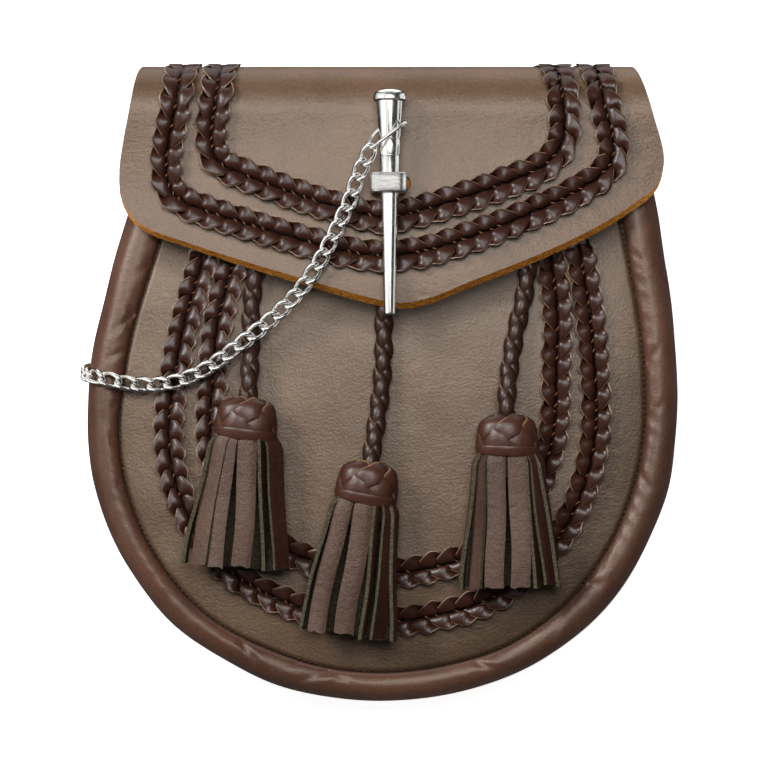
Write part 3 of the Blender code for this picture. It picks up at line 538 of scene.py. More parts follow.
# Creases where the band is drawn in: where along the seam, slope, reach outward, depth
crease_chance = np.random.default_rng(14)
creases = crease_chance.uniform((0, 0.7, 2.5, 0.15), (gusset_run[-1], 2.4, 6.5, 0.55), (40, 4))
creases[:, 1] *= crease_chance.choice((-1, 1), 40)
gusset_rings = []
for point, outward, width, run in zip(gusset_seam, gusset_out, gusset_width, gusset_run):
    section = GUSSET_SECTION[:, :2].copy()
    section[:, 0] *= np.where(section[:, 0] > 0, width / SECTION_WIDTH, 1)
    section[:, 1] += front_height(*point) * GUSSET_SECTION[:, 2]
    outer = rolled(section, 46)
    out, high = outer.T.copy()
    pucker = 0.22 * np.abs(ripples(run + 0.7 * out, 0.35 * out, 7.5, 11))
    outer[:, 1] -= np.exp(-((out - 1.2) / 2.2) ** 2) * (out > 0.2) * (high > 12) * pucker
    for start, slope, reach, deep in creases[np.abs(creases[:, 0] - run) < 22]:
        off = (run - start - slope * out) / math.hypot(1, slope)
        window = deep * ease(out / 0.8) * ease((reach - out) / 2.5) * (outer[:, 1] > 15)
        outer[:, 1] -= window * (np.exp(-(off / 0.8) ** 2) - 0.35 * np.exp(-((off - 1.9) / 1.2) ** 2))
    sway = 0.3 * ripples(0 * out + run, high, 31, 12) * (high > 8) * (out > 3)
    outer[:, 0] += sway * np.clip(outer[:, 1] / 20, 0, 1)
    inner = rolled(offset_right(section, GUSSET_THICK), 20)
    loop = np.vstack([outer, inner[::-1]])
    gusset_rings.append(np.column_stack([point + outward * loop[:, :1], loop[:, 1]]))

# Chrome-tanned hide, soft and polished by handling: it shines more narrowly than the flap
gusset_leather = leather("glossy_red_brown_hide", "#482a1d", "#623f2f", roughness=0.46, shine=0.75,
                         grain_height=0.06, wrinkle=0.06, fold=8.0)
gusset = piece(
    "rolled_gusset", np.vstack(gusset_rings), ring_faces(GUSSET_RINGS, len(loop)), [gusset_leather])
dress(gusset, "gusset")


# ---- Front panel ----
# Flat cowhide, 2.2 mm thick, with the same dye and wax as the flap. Its edge is drawn down into
# the seam by a row of small stitches, and its top edge is free under the flap.

MOUTH_Y = 78.0
STITCH = 1.8  # from one stitch to the next


def nearest(points, line):
    """How far each point of a grid is from a line."""
    flat = points.reshape(-1, 2)
    parts = np.array_split(flat, 1 + len(flat) // 2000)
    found = [np.sqrt(((part[:, None] - line) ** 2).sum(-1)).min(1) for part in parts]
    return np.concatenate(found).reshape(points.shape[:2])


def thread(ends, radius, lift):
    """A short stitch between two points, thick in the middle and sunk at its ends."""
    start, end = ends
    share = np.linspace(0, 1, 6)[:, None]
    way = unit(end - start)
    side = unit(np.cross(way, (0, 0, 1)))
    arch = np.sin(math.pi * share)
    centre = start + (end - start) * share + np.array((0, 0, 1)) * arch * lift
    thick = radius * (0.45 + 0.55 * arch[:, None])
    return rings_round(centre, side[None], np.cross(side, way)[None], thick, 6), ring_faces(6, 6)


def joined(parts):
    """Several solids, each with points, faces, finish and map, as the lists that make one piece."""
    points, faces, finishes, maps, start = [], [], [], [], 0
    for solid, cells, finish_number, flat_map in parts:
        solid = np.asarray(solid).reshape(-1, 3)
        points.append(solid)
        faces += [[i + start for i in face] for face in cells]
        finishes += [finish_number] * len(cells)
        maps.append(np.zeros((len(solid), 2)) if flat_map is None else np.reshape(flat_map, (-1, 2)))
        start += len(solid)
    return {"points": np.vstack(points), "faces": faces, "finishes": finishes, "flat_map": np.vstack(maps)}


seam = seam_line(1200)
panel_line = seam_line(600, EDGE_GAP)
panel_edge = smooth_line(panel_line[panel_line[:, 1] <= MOUTH_Y], 2 * 110 - 1)
panel_rows = rows_across(panel_edge, edge_shares(111))
panel_x, panel_y = panel_rows[..., 0], panel_rows[..., 1]
from_seam = nearest(panel_rows, seam)
panel_outer = np.dstack([panel_x, panel_y, front_height(panel_x, panel_y)])
panel_inner = panel_outer - (0, 0, FRONT_THICK)
panel_outer[..., 2] += 0.1 * ripples(panel_x, panel_y, 27, 5) - 1.3 * np.exp(-(from_seam / 0.9) ** 2)
# The flap's hide, darker and duller near the seam where it is rubbed; painted shade also darkens it towards
# the lower right and under the flap's edge
front_leather = leather("waxed_brown_front_hide", "#4f3926", "#654c36", roughness=0.44, shine=0.9,
                        grain_height=0.13, wrinkle=0.07, fold=7.0, fold_height=0.14, edge_and_shade_reach=18.0)
# Painted shade: the dye darkens towards the lower right, away from the light on the upper left
rubbed_edge_and_painted_shade = from_seam + 12 * ease(0.55 - panel_x / 100) + 9 * ease(0.4 + panel_y / 40)
# Painted shadow of the flap: near black just under its lower edge, fading over a few millimetres
below_flap = np.interp(panel_x, *whole[tangents(whole)[:, 0] > 0.3].T) - panel_y
rubbed_edge_and_painted_shade = np.minimum(rubbed_edge_and_painted_shade, 2.2 * np.maximum(below_flap - 2.5, 0))
front = leather_sheet(
    "front_of_hide", panel_outer, panel_inner, [front_leather, flesh_side, flesh_side], rubbed_edge_and_painted_shade)
front.visible_glossy = False
dress(front, "front_panel")

waxed_thread = new_material("waxed_brown_thread", Base_Color=linear("#2e1c12"), Roughness=0.45)
stitch_count = int(distance_along(seam)[-1] / STITCH)
stitch_line = smooth_line(inset(seam, 0.75), 3 * stitch_count)
stitch_line = stitch_line[stitch_line[:, 1] < MOUTH_Y - 4]
stitch_points = np.column_stack([stitch_line, front_height(*stitch_line.T) - 0.9])
stitches = [(*thread(ends, radius=0.3, lift=0.2), 0, None)
            for ends in zip(stitch_points[::3], stitch_points[2::3])]
seam_thread = piece("seam_stitches", **joined(stitches), materials=[waxed_thread])
dress(seam_thread)


# ---- Belt loops ----
# Two flat straps of the same hide on the back, glued and stitched at their ends. The belt passes
# between them and the back panel.

STRAP_WIDTH, STRAP_THICK, STRAP_LOW, STRAP_HIGH = 24.0, 2.4, -12.0, 62.0
for side, strap_x in (("left", -36.0), ("right", 40.0)):
    shares = edge_shares(25)
    strap_x_grid, strap_y_grid = np.meshgrid(
        strap_x + (shares - 0.5) * STRAP_WIDTH, STRAP_LOW + edge_shares(61) * (STRAP_HIGH - STRAP_LOW))
    top = np.full(strap_x_grid.shape, BACK_Z - GAP)
    rounding = 0.35 * (np.exp(-np.minimum(shares, 1 - shares) * STRAP_WIDTH / 0.8))
    under = np.dstack([strap_x_grid, strap_y_grid, top - STRAP_THICK + rounding])
    strap = leather_sheet("belt_strap_" + side, under, np.dstack([strap_x_grid, strap_y_grid, top]),
                          [flap_leather, cut_edge, flesh_side])
    dress(strap, "belt_loop_" + side)


# ---- Woven bands ----
# Three flat kangaroo laces plaited into a band and stitched down through its middle with waxed
# tan thread. Two bands follow the flap's edge over the fold, and two follow the front's edge.

LACE_REPEAT = 18.3  # along the band until a lace is back at the same place; a lobe every third
LACE_WIDTH, LACE_THICK = 4.7, 0.6
WEAVE_LOW, WEAVE_RISE, STITCH_PULL = 0.2, 1.1, 0.5
FLAP_REACH, FRONT_REACH = 4.1, 3.7  # how far a lace's middle swings out to each side
# The bands on the front, as distances in from the seam: y, outer band, inner band
FRONT_BANDS = (
    (-93, 16.6, 31.8), (-50, 15.6, 29.6), (0, 16.2, 28.6), (30, 15.4, 25.2), (60, 15, 24.4),
)
FRONT_BAND_TOP_Y = 43.0
# The bands on the flap, with y measured along the leather and on over the fold: x, y
FLAP_BAND_OUTER = (
    (-62, 113), (-64.8, 88), (-67.9, 70), (-66, 59.2), (-56.8, 53.6), (-31.1, 45.6),
    (-11.9, 40.5), (2.2, 39.2), (19, 42.1), (47.8, 53), (65.6, 62.4), (71.8, 69.5),
    (71.7, 78.2), (68.9, 89), (65.5, 113),
)
FLAP_BAND_INNER = (
    (-50, 113), (-52.2, 89.8), (-53.8, 78), (-52.2, 69.6), (-46, 65.6), (-25.3, 57.7),
    (-5.4, 52), (3, 51.4), (15.3, 54.2), (37, 61.4), (50.3, 67.4), (56, 74.5),
    (56.9, 82), (56.3, 89), (53, 113),
)


def lace_leather(name, colour, worn, edge, roughness, edge_share, shine):
    """Thin drum-dyed lace, polished as it is pulled tight. Painted shade darkens it the lower it lies in
    the plait, and its raised parts are a little lighter. Its cut edges, from edge_share of its half width on,
    are paler."""
    made = new_material(name, Roughness=roughness, IOR=1.5, Specular_IOR_Level=shine)
    place = add(made, "TexCoord", output="Object")
    lengthwise = add(made, "UVMap", uv_map="lengthwise")
    raised, across = (add(made, "SeparateXYZ", {0: lengthwise}, axis) for axis in "XY")
    mottle = add(made, "TexNoise", Vector=place, Scale=1000 / 2.5, Detail=4, Roughness=0.65)
    dye = add(made, "Mix", {0: mottle, 6: linear(colour), 7: linear(worn)}, 2, data_type="RGBA")
    # Painted shade and light: the lower a part of the lace lies, the darker its colour; the highest parts are
    # a little lighter
    painted_hollow_shade = add(made, "MapRange", Value=raised, From_Min=0.15, From_Max=0.8, To_Min=0.1, To_Max=1.15)
    dye = add(made, "Mix", {0: 1, 6: dye, 7: painted_hollow_shade}, 2, data_type="RGBA", blend_type="MULTIPLY")
    raw = add(made, "MapRange", Value=across, From_Min=edge_share - 0.06, From_Max=edge_share + 0.06)
    patchy = add(made, "TexNoise", Vector=place, Scale=1000 / 9, Detail=3)
    worn_off = add(made, "MapRange", Value=patchy, From_Min=0.35, From_Max=0.6)
    shown = add(made, "Math", {0: raw, 1: worn_off}, operation="MULTIPLY")
    tone = add(made, "Mix", {0: shown, 6: dye, 7: linear(edge)}, 2, data_type="RGBA")
    shade(made, Base_Color=tone, Normal=add(made, "Bump", Height=mottle, Distance=0.00012))
    return made


def lace_section(width, thick, crown=0.12):
    """A flat lace with its edges rubbed round: across, height; and the map's place across."""
    across = np.array((-1, -0.93, -0.7, -0.36, 0, 0.36, 0.7, 0.93, 1, 0.7, 0, -0.7))
    height = np.array((0.45, 0.85, 1, 1, 1, 1, 1, 0.85, 0.45, 0, 0, 0)) * (1 - crown * across**2)
    return across * width / 2, height * thick, across


def woven_laces(centre, surface, reach, repeat, width, thick, low, rise, pull=0.0, seed=None, step=0.7,
                ahead=0.0):
    """The three laces of a band. Each comes from below, turns back at the side with its outer edge
    up, like a banked road, and crosses over to the middle, drawn out ahead when the plait is pulled
    tight. Where it is stitched it is pulled down at the middle. surface(x, y, lift) lays it down."""
    length = distance_along(smooth_line(centre, 400))[-1]
    line = smooth_line(centre, int(length / step) + 1)
    sides = to_right(tangents(line))
    run = np.linspace(0, length, len(line))
    across, height, spread = lace_section(width, thick)
    parts = []
    for lace in range(3):
        uneven = [0 * run, 0 * run] if seed is None else [
            ripples(run, 60.0 * lace, size, seed + size) for size in (13, 17)]
        phase = 2 * math.pi * (run / repeat + lace / 3) + 0.14 * uneven[0]
        swing = (reach * (1 + 0.05 * uneven[1]) * np.cos(phase))[:, None]
        place = np.clip(run + ahead * np.sin(2 * phase - 1.6), 0, length)
        middle, side = (read_line(run, values, place) for values in (line, sides))
        path = middle + side * swing
        right = to_right(tangents(path))
        high = low + rise * (1 + np.sin(2 * phase))
        angle = 0 * run
        if seed is not None:
            after = (phase + math.pi / 2) % math.pi - math.pi / 2
            bank = ease((after + 1.0) / 0.5) * (1 - ease((after - 0.02) / 0.8))
            angle = -1.25 * np.sign(np.cos(phase)) * bank * (1 + 0.12 * uneven[1])
            high = high - 0.8 * bank
        angle = angle[:, None]
        out = across * np.cos(angle) + height * np.sin(angle)
        flat = path[:, None] + right[:, None] * out[..., None]
        from_middle = swing + out * (right * side).sum(1)[:, None]
        high = high[:, None] + height * np.cos(angle) - across * np.sin(angle)
        if pull:
            since = (phase + math.pi / 4) % math.pi - math.pi / 4
            held = (ease((since + 0.7) / 0.6) * ease((2.35 - since) / 0.7))[:, None]
            outward = np.sign(np.cos(phase - since))[:, None]
            past = np.minimum(outward * from_middle - 0.3, 0) * held
            flat = flat - (outward * past * 0.8)[..., None] * side[:, None]
            high = high + 0.6 * past - pull * np.exp(-(from_middle / 1.0) ** 2)
        solid = surface(flat[..., 0], flat[..., 1], np.maximum(high, 0.1))
        raised = np.sign(np.cos(phase))[:, None] * spread
        # The map's first value is how high the lace lies, which sets its painted hollow shade
        flat_map = np.stack([(high - low) / (2 * rise + thick), raised], -1)
        parts.append((solid, ring_faces(len(line), len(across)), 0, flat_map))
    return parts


def gap_shade_strip(centre, surface, width):
    """A near-black lace under the plait that fills its gaps with painted shade."""
    line = smooth_line(centre, 300)
    across = np.array((-1, -0.9, 0.9, 1, 0.9, -0.9)) * width / 2
    flat = line[:, None] + to_right(tangents(line))[:, None] * across[:, None]
    high = np.array((0.15, 0.3, 0.3, 0.15, 0.05, 0.05)) + 0 * flat[..., 0]
    return surface(flat[..., 0], flat[..., 1], high), ring_faces(300, 6), 2, None


def on_front(x, y, lift=0.0):
    return np.stack([x, y, front_height(x, y) + lift], -1)


def band_thread(centre, surface, seed):
    """The slanting ends of the stitches that show between the laces, some of them hidden."""
    length = distance_along(smooth_line(centre, 400))[-1]
    line = smooth_line(centre, int(length / LACE_REPEAT * 6) + 1)
    along = tangents(line)
    chance = np.random.default_rng(seed)
    found = []
    for point, way, right in zip(line, along, to_right(along)):
        shift, half, showing = chance.uniform((-0.5, 0.5, 0), (0.5, 0.8, 1))
        ends = point + np.array([way * (shift + end * half) + right * end * 0.45 for end in (-1, 1)])
        if showing > 0.4:
            places = surface(*ends.T, np.full(2, WEAVE_LOW + WEAVE_RISE + LACE_THICK - 0.15))
            found.append((*thread(places, radius=0.2, lift=0.1), 1, None))
    return found


# Kangaroo hide is thin and dense, so it takes a near-black gloss and stays pale where it is cut
band_lace = lace_leather("dark_kangaroo_lace", "#29120a", "#3e2217", "#957a62",
                         roughness=0.33, edge_share=0.91, shine=0.4)
# Waxed linen, which shines softly
tan_thread = new_material("waxed_tan_thread", Base_Color=linear("#704720"), Roughness=0.5)
# Matt and almost black: painted shade for the gaps between the laces, where hardly any light gets in
gap_shade_material = rough_leather("near_black_gap_shade", "#0f0906", "#1a110c", size=1.0)
band_seam = seam_line(241)
for place, column, flap_band in (("outer", 1, FLAP_BAND_OUTER), ("inner", 2, FLAP_BAND_INNER)):
    front_band = inset(band_seam, read_table(FRONT_BANDS, band_seam[:, 1], column))
    front_band = front_band[front_band[:, 1] < FRONT_BAND_TOP_Y]
    for where, band, surface, reach in (
            ("flap", flap_band, on_flap, FLAP_REACH), ("front", front_band[::-1], on_front, FRONT_REACH)):
        seed = 100 * column + len(where)
        laces = woven_laces(band, surface, reach, LACE_REPEAT, LACE_WIDTH, LACE_THICK, WEAVE_LOW, WEAVE_RISE,
                            STITCH_PULL, seed, ahead=1.0)
        # The near-black strip under the plait paints the shade in its gaps
        laces += band_thread(band, surface, seed) + [gap_shade_strip(band, surface, 2 * reach)]
        band_piece = piece(
            f"{where}_woven_{place}", **joined(laces), materials=[band_lace, tan_thread, gap_shade_material])
        dress(band_piece, f"{where}_plait_{place}")


# ---- Cords, knots and tassels ----
# Each cord is four laces braided round a core. It ends in a woven knot, which holds a skirt of
# leather strips, rolled up tight at the head and cut off square at the end.

CORD_RADIUS, CORD_PITCH, CORD_WEAVE = 2.15, 16.2, 0.5
CORD_LIFT = GAP + 2.6  # of a cord that lies on the front panel
# Each cord from under the flap to just above its knot: x, y, height over where it would lie
CORD_ROUTES = {
    "left": ((-37.2, 51, 0), (-38, 44, 0), (-39.6, 36, 0), (-40.9, 28, 0), (-41.5, 18, 0),
             (-41.5, 9.5, 1.3), (-41.7, 1.5, 3.7)),
    "middle": ((0.8, 42, 0), (0.7, 32, 0), (0.3, 21, 0), (0.2, 9, 0), (-0.6, -3, 0.4),
               (-1.7, -11, 1.6), (-2.8, -18.5, 3.7)),
    "right": ((44, 51, 0), (44.9, 43, 0), (45.4, 36, 0), (44.8, 29, 0), (43.4, 22.5, 0),
              (41.6, 15, 0), (39.9, 5, 1.1), (38.9, -3.5, 3.7)),
}
CORE_RADIUS = 1.7
KNOT_LIFT, SKIRT_LIFT, UNDERSIDE = 7.5, 9.7, 0.72
# Round the knot along its laces, and down it to its middle, its last turn and the strips' hidden ends
ROUND_KNOT, KNOT_MIDDLE, LAST_TURN, STRIP_START = 50.0, 5.9, 10.9, 9.7
# The knot, from the cord down: distance, half width, half height
KNOT_PROFILE = (
    (0, 4.6, 3.4), (0.8, 7.4, 4.9), (2.6, 9, 5.9), (6, 9.6, 6.3), (9.4, 9.7, 6.3),
    (12.4, 9.2, 5.8),
)
# Tassel: side, knot top x, y, skirt bottom x, y, width at the bottom
TASSELS = (
    ("left", -42.2, -5.7, -46.1, -58.9, 35),
    ("middle", -3.9, -25.7, -11.3, -80, 34.5),
    ("right", 38.6, -10.9, 39.7, -65, 33),
)
SKIRT_TOP_HALF, SKIRT_BOTTOM_HALF_HEIGHT = (10.3, 4.6), 4.8
# What the strips are rolled round: distance, half width, half height
SKIRT_CORE = ((10, 6.84, 3.6), (12.5, 7.6, 4), (16.5, 7.6, 4), (20, 4.56, 2.4))
STRIP_THICK, STRIP_RINGS = 1.3, 34
# Strips of each skirt: across at the head, across at the end, the way it faces in degrees from
# the front, and its width
STRIPS = {
    "left": ((-10.2, -15.8, -104, 5.5), (-7.4, -11.8, -35, 6), (-5.3, -6.6, -8, 6.2), (1.1, 2.1, 0, 6.3),
             (5.2, 8.6, 78, 4.5), (9.2, 13.8, 45, 6.2)),
    "middle": ((-9.8, -14.6, -104, 5.5), (-6.4, -9.9, -12, 5.8), (0, -0.9, 3, 6.4), (4.2, 5.2, 70, 4),
               (8.4, 9.6, 45, 6.2), (9.6, 14.2, 84, 5)),
    "right": ((-10, -15, -104, 5.5), (-8.4, -10.4, -55, 5.5), (-3.7, -4.6, -5, 6.2), (3, 3.3, 4, 6.2),
              (6.6, 7.9, 64, 3.6), (8.7, 12.3, 48, 6), (9.8, 15.5, 84, 5)),
}
BACK_STRIPS = ((-7, -11, -150, 6), (-3.5, -5.6, -170, 6.5), (0.5, 0.4, 180, 6.5), (4, 6.2, 168, 6.5),
               (7.2, 11.4, 150, 6))


def tassel_frame(row):
    """The knot's top, the directions to the right, down and up, and the length to the skirt's end."""
    _, top_x, top_y, end_x, end_y, _ = row
    top = np.array((top_x, top_y, front_height(top_x, top_y) + KNOT_LIFT))
    end = np.array((end_x, end_y, front_height(end_x, end_y) + SKIRT_LIFT))
    down = unit(end - top)
    right = unit(np.cross((0, 0, 1), down))
    return top, np.array((right, down, np.cross(down, right))), np.linalg.norm(end - top)


def cord_laces(line):
    """Two laces that wind one way round the core and two that wind the other way, over and under."""
    along = distance_along(line)
    way = tangents(line)
    side = unit(np.cross(way, (0, 0, 1)))
    above = np.cross(side, way)
    run = np.arange(0, along[-1], 0.42)
    across, height, spread = lace_section(width=4.9, thick=0.95, crown=0.3)
    slope = math.atan(CORD_RADIUS * 2 * math.pi / CORD_PITCH)
    parts = []
    for hand, start in ((1, 0), (1, math.pi), (-1, 0), (-1, math.pi)):
        turn = hand * 2 * math.pi * run[:, None] / CORD_PITCH + start
        over = hand * np.cos(4 * math.pi * run[:, None] / CORD_PITCH)
        radius = CORD_RADIUS + CORD_WEAVE * over
        place = np.clip(run[:, None] - hand * across * math.sin(slope), 0, along[-1])
        angle = (turn + across * math.cos(slope) / radius)[..., None]
        centre, sides, ups = (read_line(along, values, place) for values in (line, side, above))
        out = (radius - 0.5 + height)[..., None]
        solid = centre + (sides * np.cos(angle) + ups * np.sin(angle)) * out
        # Where a lace passes under, the map darkens it with painted shade
        flat_map = np.stack([0.5 + 0.5 * over + 0 * across, spread + 0 * over], -1)
        parts.append((solid, ring_faces(len(run), len(across)), 0, flat_map))
    core = rings_round(line, side, above, CORE_RADIUS, 16)
    return parts + [(core, ring_faces(len(line), 16), 0, None)]


def oval_solid(rows, axes, top):
    """A plain oval core, from rows of distance down from the knot's top, half width, half height."""
    turn = full_turn(32)
    down, wide, tall = np.array(rows).T[..., None]
    rings = np.stack([wide * np.cos(turn), down + 0 * turn, tall * np.sin(turn)], -1)
    return rings @ axes + top, ring_faces(len(rows), 32), 0, None


def add_knot(row):
    """Three laces woven round the knot's barrel and a last turn below them, over a plain core."""
    top, axes, _ = tassel_frame(row)
    profile = np.array(KNOT_PROFILE)
    fine = smooth_line(profile, 60)

    def on_barrel(x, y, lift):
        angle = x * 2 * math.pi / ROUND_KNOT
        grow = 1 + (lift - 1.6) / 8.0
        wide, tall = (np.interp(y, fine[:, 0], fine[:, column]) * grow for column in (1, 2))
        return np.stack([wide * np.cos(angle), y, tall * np.sin(angle)], -1) @ axes + top

    middle = np.column_stack([np.linspace(0, ROUND_KNOT, 12), np.full(12, KNOT_MIDDLE)])
    parts = woven_laces(middle, on_barrel, reach=3.2, repeat=ROUND_KNOT / 2, width=6.6, thick=0.8, low=0.0,
                        rise=0.45, step=0.5)
    across, height, spread = lace_section(width=3.2, thick=0.9)
    round_x = np.linspace(0, ROUND_KNOT, 81)[:, None] + 0 * across
    sway = 0.5 * np.sin(round_x / 8 + 1)
    last_turn = on_barrel(round_x, LAST_TURN + across + sway, 1.0 + height + 0 * round_x)
    # The last turn counts as raised, so it gets the lighter end of the painted shade
    flat_map = np.stack([1 + 0 * round_x, spread + 0 * round_x], -1)
    parts.append((last_turn, ring_faces(81, len(across)), 0, flat_map))
    parts.append(oval_solid(smooth_line(profile * (1, 0.84, 0.84), 14), axes, top))
    return piece(row[0] + "_woven_knot", **joined(parts), materials=[knot_lace])


def strip(row, root, end, facing, width, chance):
    """One strip of a skirt, from inside its head to its cut end."""
    top, axes, whole_length = tassel_frame(row)
    share = np.linspace(0, 1, STRIP_RINGS)
    under_knot = 1 - ease(share * whole_length / 7.0)
    spread = 0.6 * share + 0.4 * ease(share)
    back = abs(facing) > 120
    head = SKIRT_TOP_HALF[0] * (1 - 0.24 * under_knot)
    root = root * head / SKIRT_TOP_HALF[0]
    reach = head * (1 - spread) + (row[5] / 2 - 1.5) * spread
    tall = SKIRT_TOP_HALF[1] * (1 - spread) + SKIRT_BOTTOM_HALF_HEIGHT * spread
    across = root + (end - root) * spread
    high = tall * np.sqrt(np.clip(1 - (across / reach) ** 2, 0.02, 1)) * (-UNDERSIDE if back else 1)
    waves = chance.uniform(0.5, 1.2, 2)
    phase = chance.uniform(0, 6.28, 2)
    across = across + 0.5 * np.sin(share * 6.28 * waves[0] + phase[0]) * spread
    high = high + 0.4 * np.sin(share * 6.28 * waves[1] + phase[1]) * spread
    length = whole_length - STRIP_START - chance.uniform(0, 1.2)
    centre = np.column_stack([across, STRIP_START + share * length, high])
    turn = np.radians(facing) * (0.88 + 0.12 * share) + chance.uniform(-0.12, 0.12) * share
    wide_way = np.column_stack([np.cos(turn), 0 * turn, -np.sin(turn)])
    out_way = np.column_stack([np.sin(turn), 0 * turn, np.cos(turn)])
    u = np.array((-1, -0.97, -0.6, -0.2, 0.2, 0.6, 0.97, 1, 0.97, 0.6, 0.2, -0.2, -0.6, -0.97))
    v = np.array((-0.1, 0.36, 0.5, 0.5, 0.5, 0.5, 0.36, -0.1, -0.5, -0.5, -0.5, -0.5, -0.5, -0.5))
    cup = chance.uniform(-0.5, 0.7) * (u**2 - 0.4)
    tucked = 1 - (0.45 if abs(facing) > 50 else 0.15) * under_knot
    centre[:, 2] *= 0.5 + 0.5 * tucked
    solid = centre[:, None] + wide_way[:, None] * (tucked[:, None] * u * width / 2)[..., None]
    solid = solid + out_way[:, None] * (v * STRIP_THICK - cup)[:, None]
    solid[-1, :, 1] += chance.uniform(-0.35, 0.35, len(u))
    # Strips that face the right, away from the light, take the darker copy of the hide: painted shade
    hide = 3 if facing > 40 else 0
    finishes = [1, *[hide] * 5, 1, 1, *[2] * 5, 1] * (STRIP_RINGS - 1) + [1, 1]
    return solid @ axes + top, ring_faces(STRIP_RINGS, len(u)), finishes


# Braided tight and rubbed against the pouch, so only a few edges are left pale
cord_lace = lace_leather("dark_braided_lace", "#29160e", "#3b2418", "#7a5c45",
                         roughness=0.36, edge_share=0.84, shine=0.45)
# The same lace in a redder dye
knot_lace = lace_leather("red_brown_knot_lace", "#371c12", "#4e2d1f", "#9a7b52",
                         roughness=0.38, edge_share=0.92, shine=0.48)
# Soft upholstery hide: a low sheen over fine folds. The strips that face the right take a darker, redder
# copy, which is painted shade
strip_grain = leather("matt_brown_strip_hide", "#3f2a21", "#5d453a", roughness=0.52, shine=0.5,
                      grain_height=0.11, wrinkle=0.1, grain=0.7, fold=3.0, fold_height=0.3)
# The darker copy for the strips that face the right: painted shade
shaded_strip_copy = leather("painted_shade_strip_hide", "#2e140d", "#42241a", roughness=0.55, shine=0.45,
                     grain_height=0.1, grain=0.7, fold=3.0, fold_height=0.35)
# Its cut edge and its split side: matt olive fibres
strip_edge = rough_leather("olive_strip_edge", "#2b281c", "#625c48", size=0.6)
strip_suede = rough_leather("olive_suede", "#1f1c13", "#474030", size=0.9)
for number, row in enumerate(TASSELS):
    name = row[0]
    top, axes, _ = tassel_frame(row)
    route = [(x, y, front_height(x, y) + (CORD_LIFT + lift)) for x, y, lift in CORD_ROUTES[name]]
    route.append(tuple(top - 0.8 * axes[1]))
    cord_line = smooth_line(route, 90)
    into_knot = np.vstack([cord_line, top + np.outer((0.4, 1.6, 2.8), axes[1])])
    cord = piece(name + "_braided_cord", **joined(cord_laces(into_knot)), materials=[cord_lace])
    dress(cord, "cord_" + name)
    knot = add_knot(row)
    dress(knot, "tassel_knot_" + name)
    chance = np.random.default_rng(40 + number)
    parts, strip_finishes = [], []
    for root, end, facing, width in STRIPS[name] + BACK_STRIPS:
        solid, faces, finishes = strip(row, root, end, facing, width, chance)
        parts.append((solid, faces, 0, None))
        strip_finishes += finishes
    parts.append(oval_solid(SKIRT_CORE, axes, top))
    strip_finishes += [2] * len(parts[-1][1])
    skirt_parts = joined(parts) | {"finishes": strip_finishes}
    skirt = piece(name + "_tassel_skirt", **skirt_parts,
                  materials=[strip_grain, strip_edge, strip_suede, shaded_strip_copy])
    dress(skirt, "tassel_" + name)


# ---- Staple, pin, ring, chain and anchor ----
# Steel parts with bright chrome on them. The staple stands through the flap's slot, the turned
# pin goes through it, and a twisted curb chain runs from the pin's ring to an eye on the gusset.

STAPLE_X, STAPLE_Y, STAPLE_DEPTH, STAPLE_METAL = 1.8, 61.7, 6.3, 1.5
# How far its legs go on into the front panel, and how far its bridge is above the pin's middle
STAPLE_SUNK, OVER_PIN = 1.6, 3.5
PIN_X, PIN_TOP, PIN_TIP = 2.1, (90.8, 39.4), (20.6, 45.6)
# The pin, as turned: distance from the top, radius
PIN_PROFILE = (
    (0, 0.05), (0, 2.4), (0.25, 3.6), (0.8, 4.6), (1.6, 5.05), (2.6, 5.2), (3.3, 5.1), (3.6, 4.75),
    (3.75, 4.1), (3.9, 4.05), (14.8, 3.42), (15.1, 3.25), (15.4, 3.16), (15.7, 3.25), (16, 3.35),
    (20.3, 3.14), (20.6, 2.97), (20.8, 2.92), (21, 2.97), (21.3, 3.08), (32.5, 2.75), (70, 1.68),
    (70.5, 1.45), (70.7, 1.2), (70.7, 0.05),
)
CROSS_HOLE_Y, CROSS_HOLE_RADIUS, CROSS_HOLE_TURN = 79.2, 1.15, math.radians(16.0)
# The wire ring, from the middle of the cross hole and over the pin's front: x, y, height
RING_LOOP = (
    (0, 0, 0), (3.6, 1.1, 0.1), (5, 1.2, 2), (3.4, 0, 4.3), (-0.6, -3, 4.9),
    (-4.9, -6.3, 4.1), (-6.6, -6.4, 1.9), (-5.9, -3.6, 0.2), (-3.4, -1.1, -0.1),
)
RING_WIRE, WIRE_SIDES = 1.15, 12
LINK_LENGTH, LINK_WIDTH, LINK_WIRE, LINK_TWIST, LINK_PITCH = 7.6, 4.8, 1.45, 1.0, 5.1
# The chain, from the ring over the flap's edge and the front to the gusset's side: x, y, z
CHAIN_ROUTE = (
    (-4.7, 70.4, 42.2), (-7.5, 64.4, 41.2), (-10, 57, 40.9), (-12.6, 51, 41.6), (-15.3, 45.4, 42.5),
    (-18, 40.2, 43.2), (-21.2, 34.8, 42.6), (-25.5, 28.8, 41.3), (-30.2, 23.7, 39.2), (-35, 19.2, 38),
    (-39.8, 15.2, 38.5), (-44.4, 11.6, 38.4), (-49.4, 7.8, 36.8), (-55.4, 3.7, 35.7), (-61.6, 0.7, 35),
    (-67.4, -0.8, 34.7), (-72.6, -1.3, 34), (-77.6, -1.2, 33.4), (-82.4, -0.5, 33.5), (-86.8, 0.5, 33.5),
    (-90.8, 1.4, 31.4), (-93.2, 2.1, 27.2), (-93.7, 2.6, 22.4), (-93.3, 2.9, 17.6),
)
ANCHOR_PLACE, ANCHOR_TILT = (-91.35, 3.0, 14.2), math.radians(6.0)


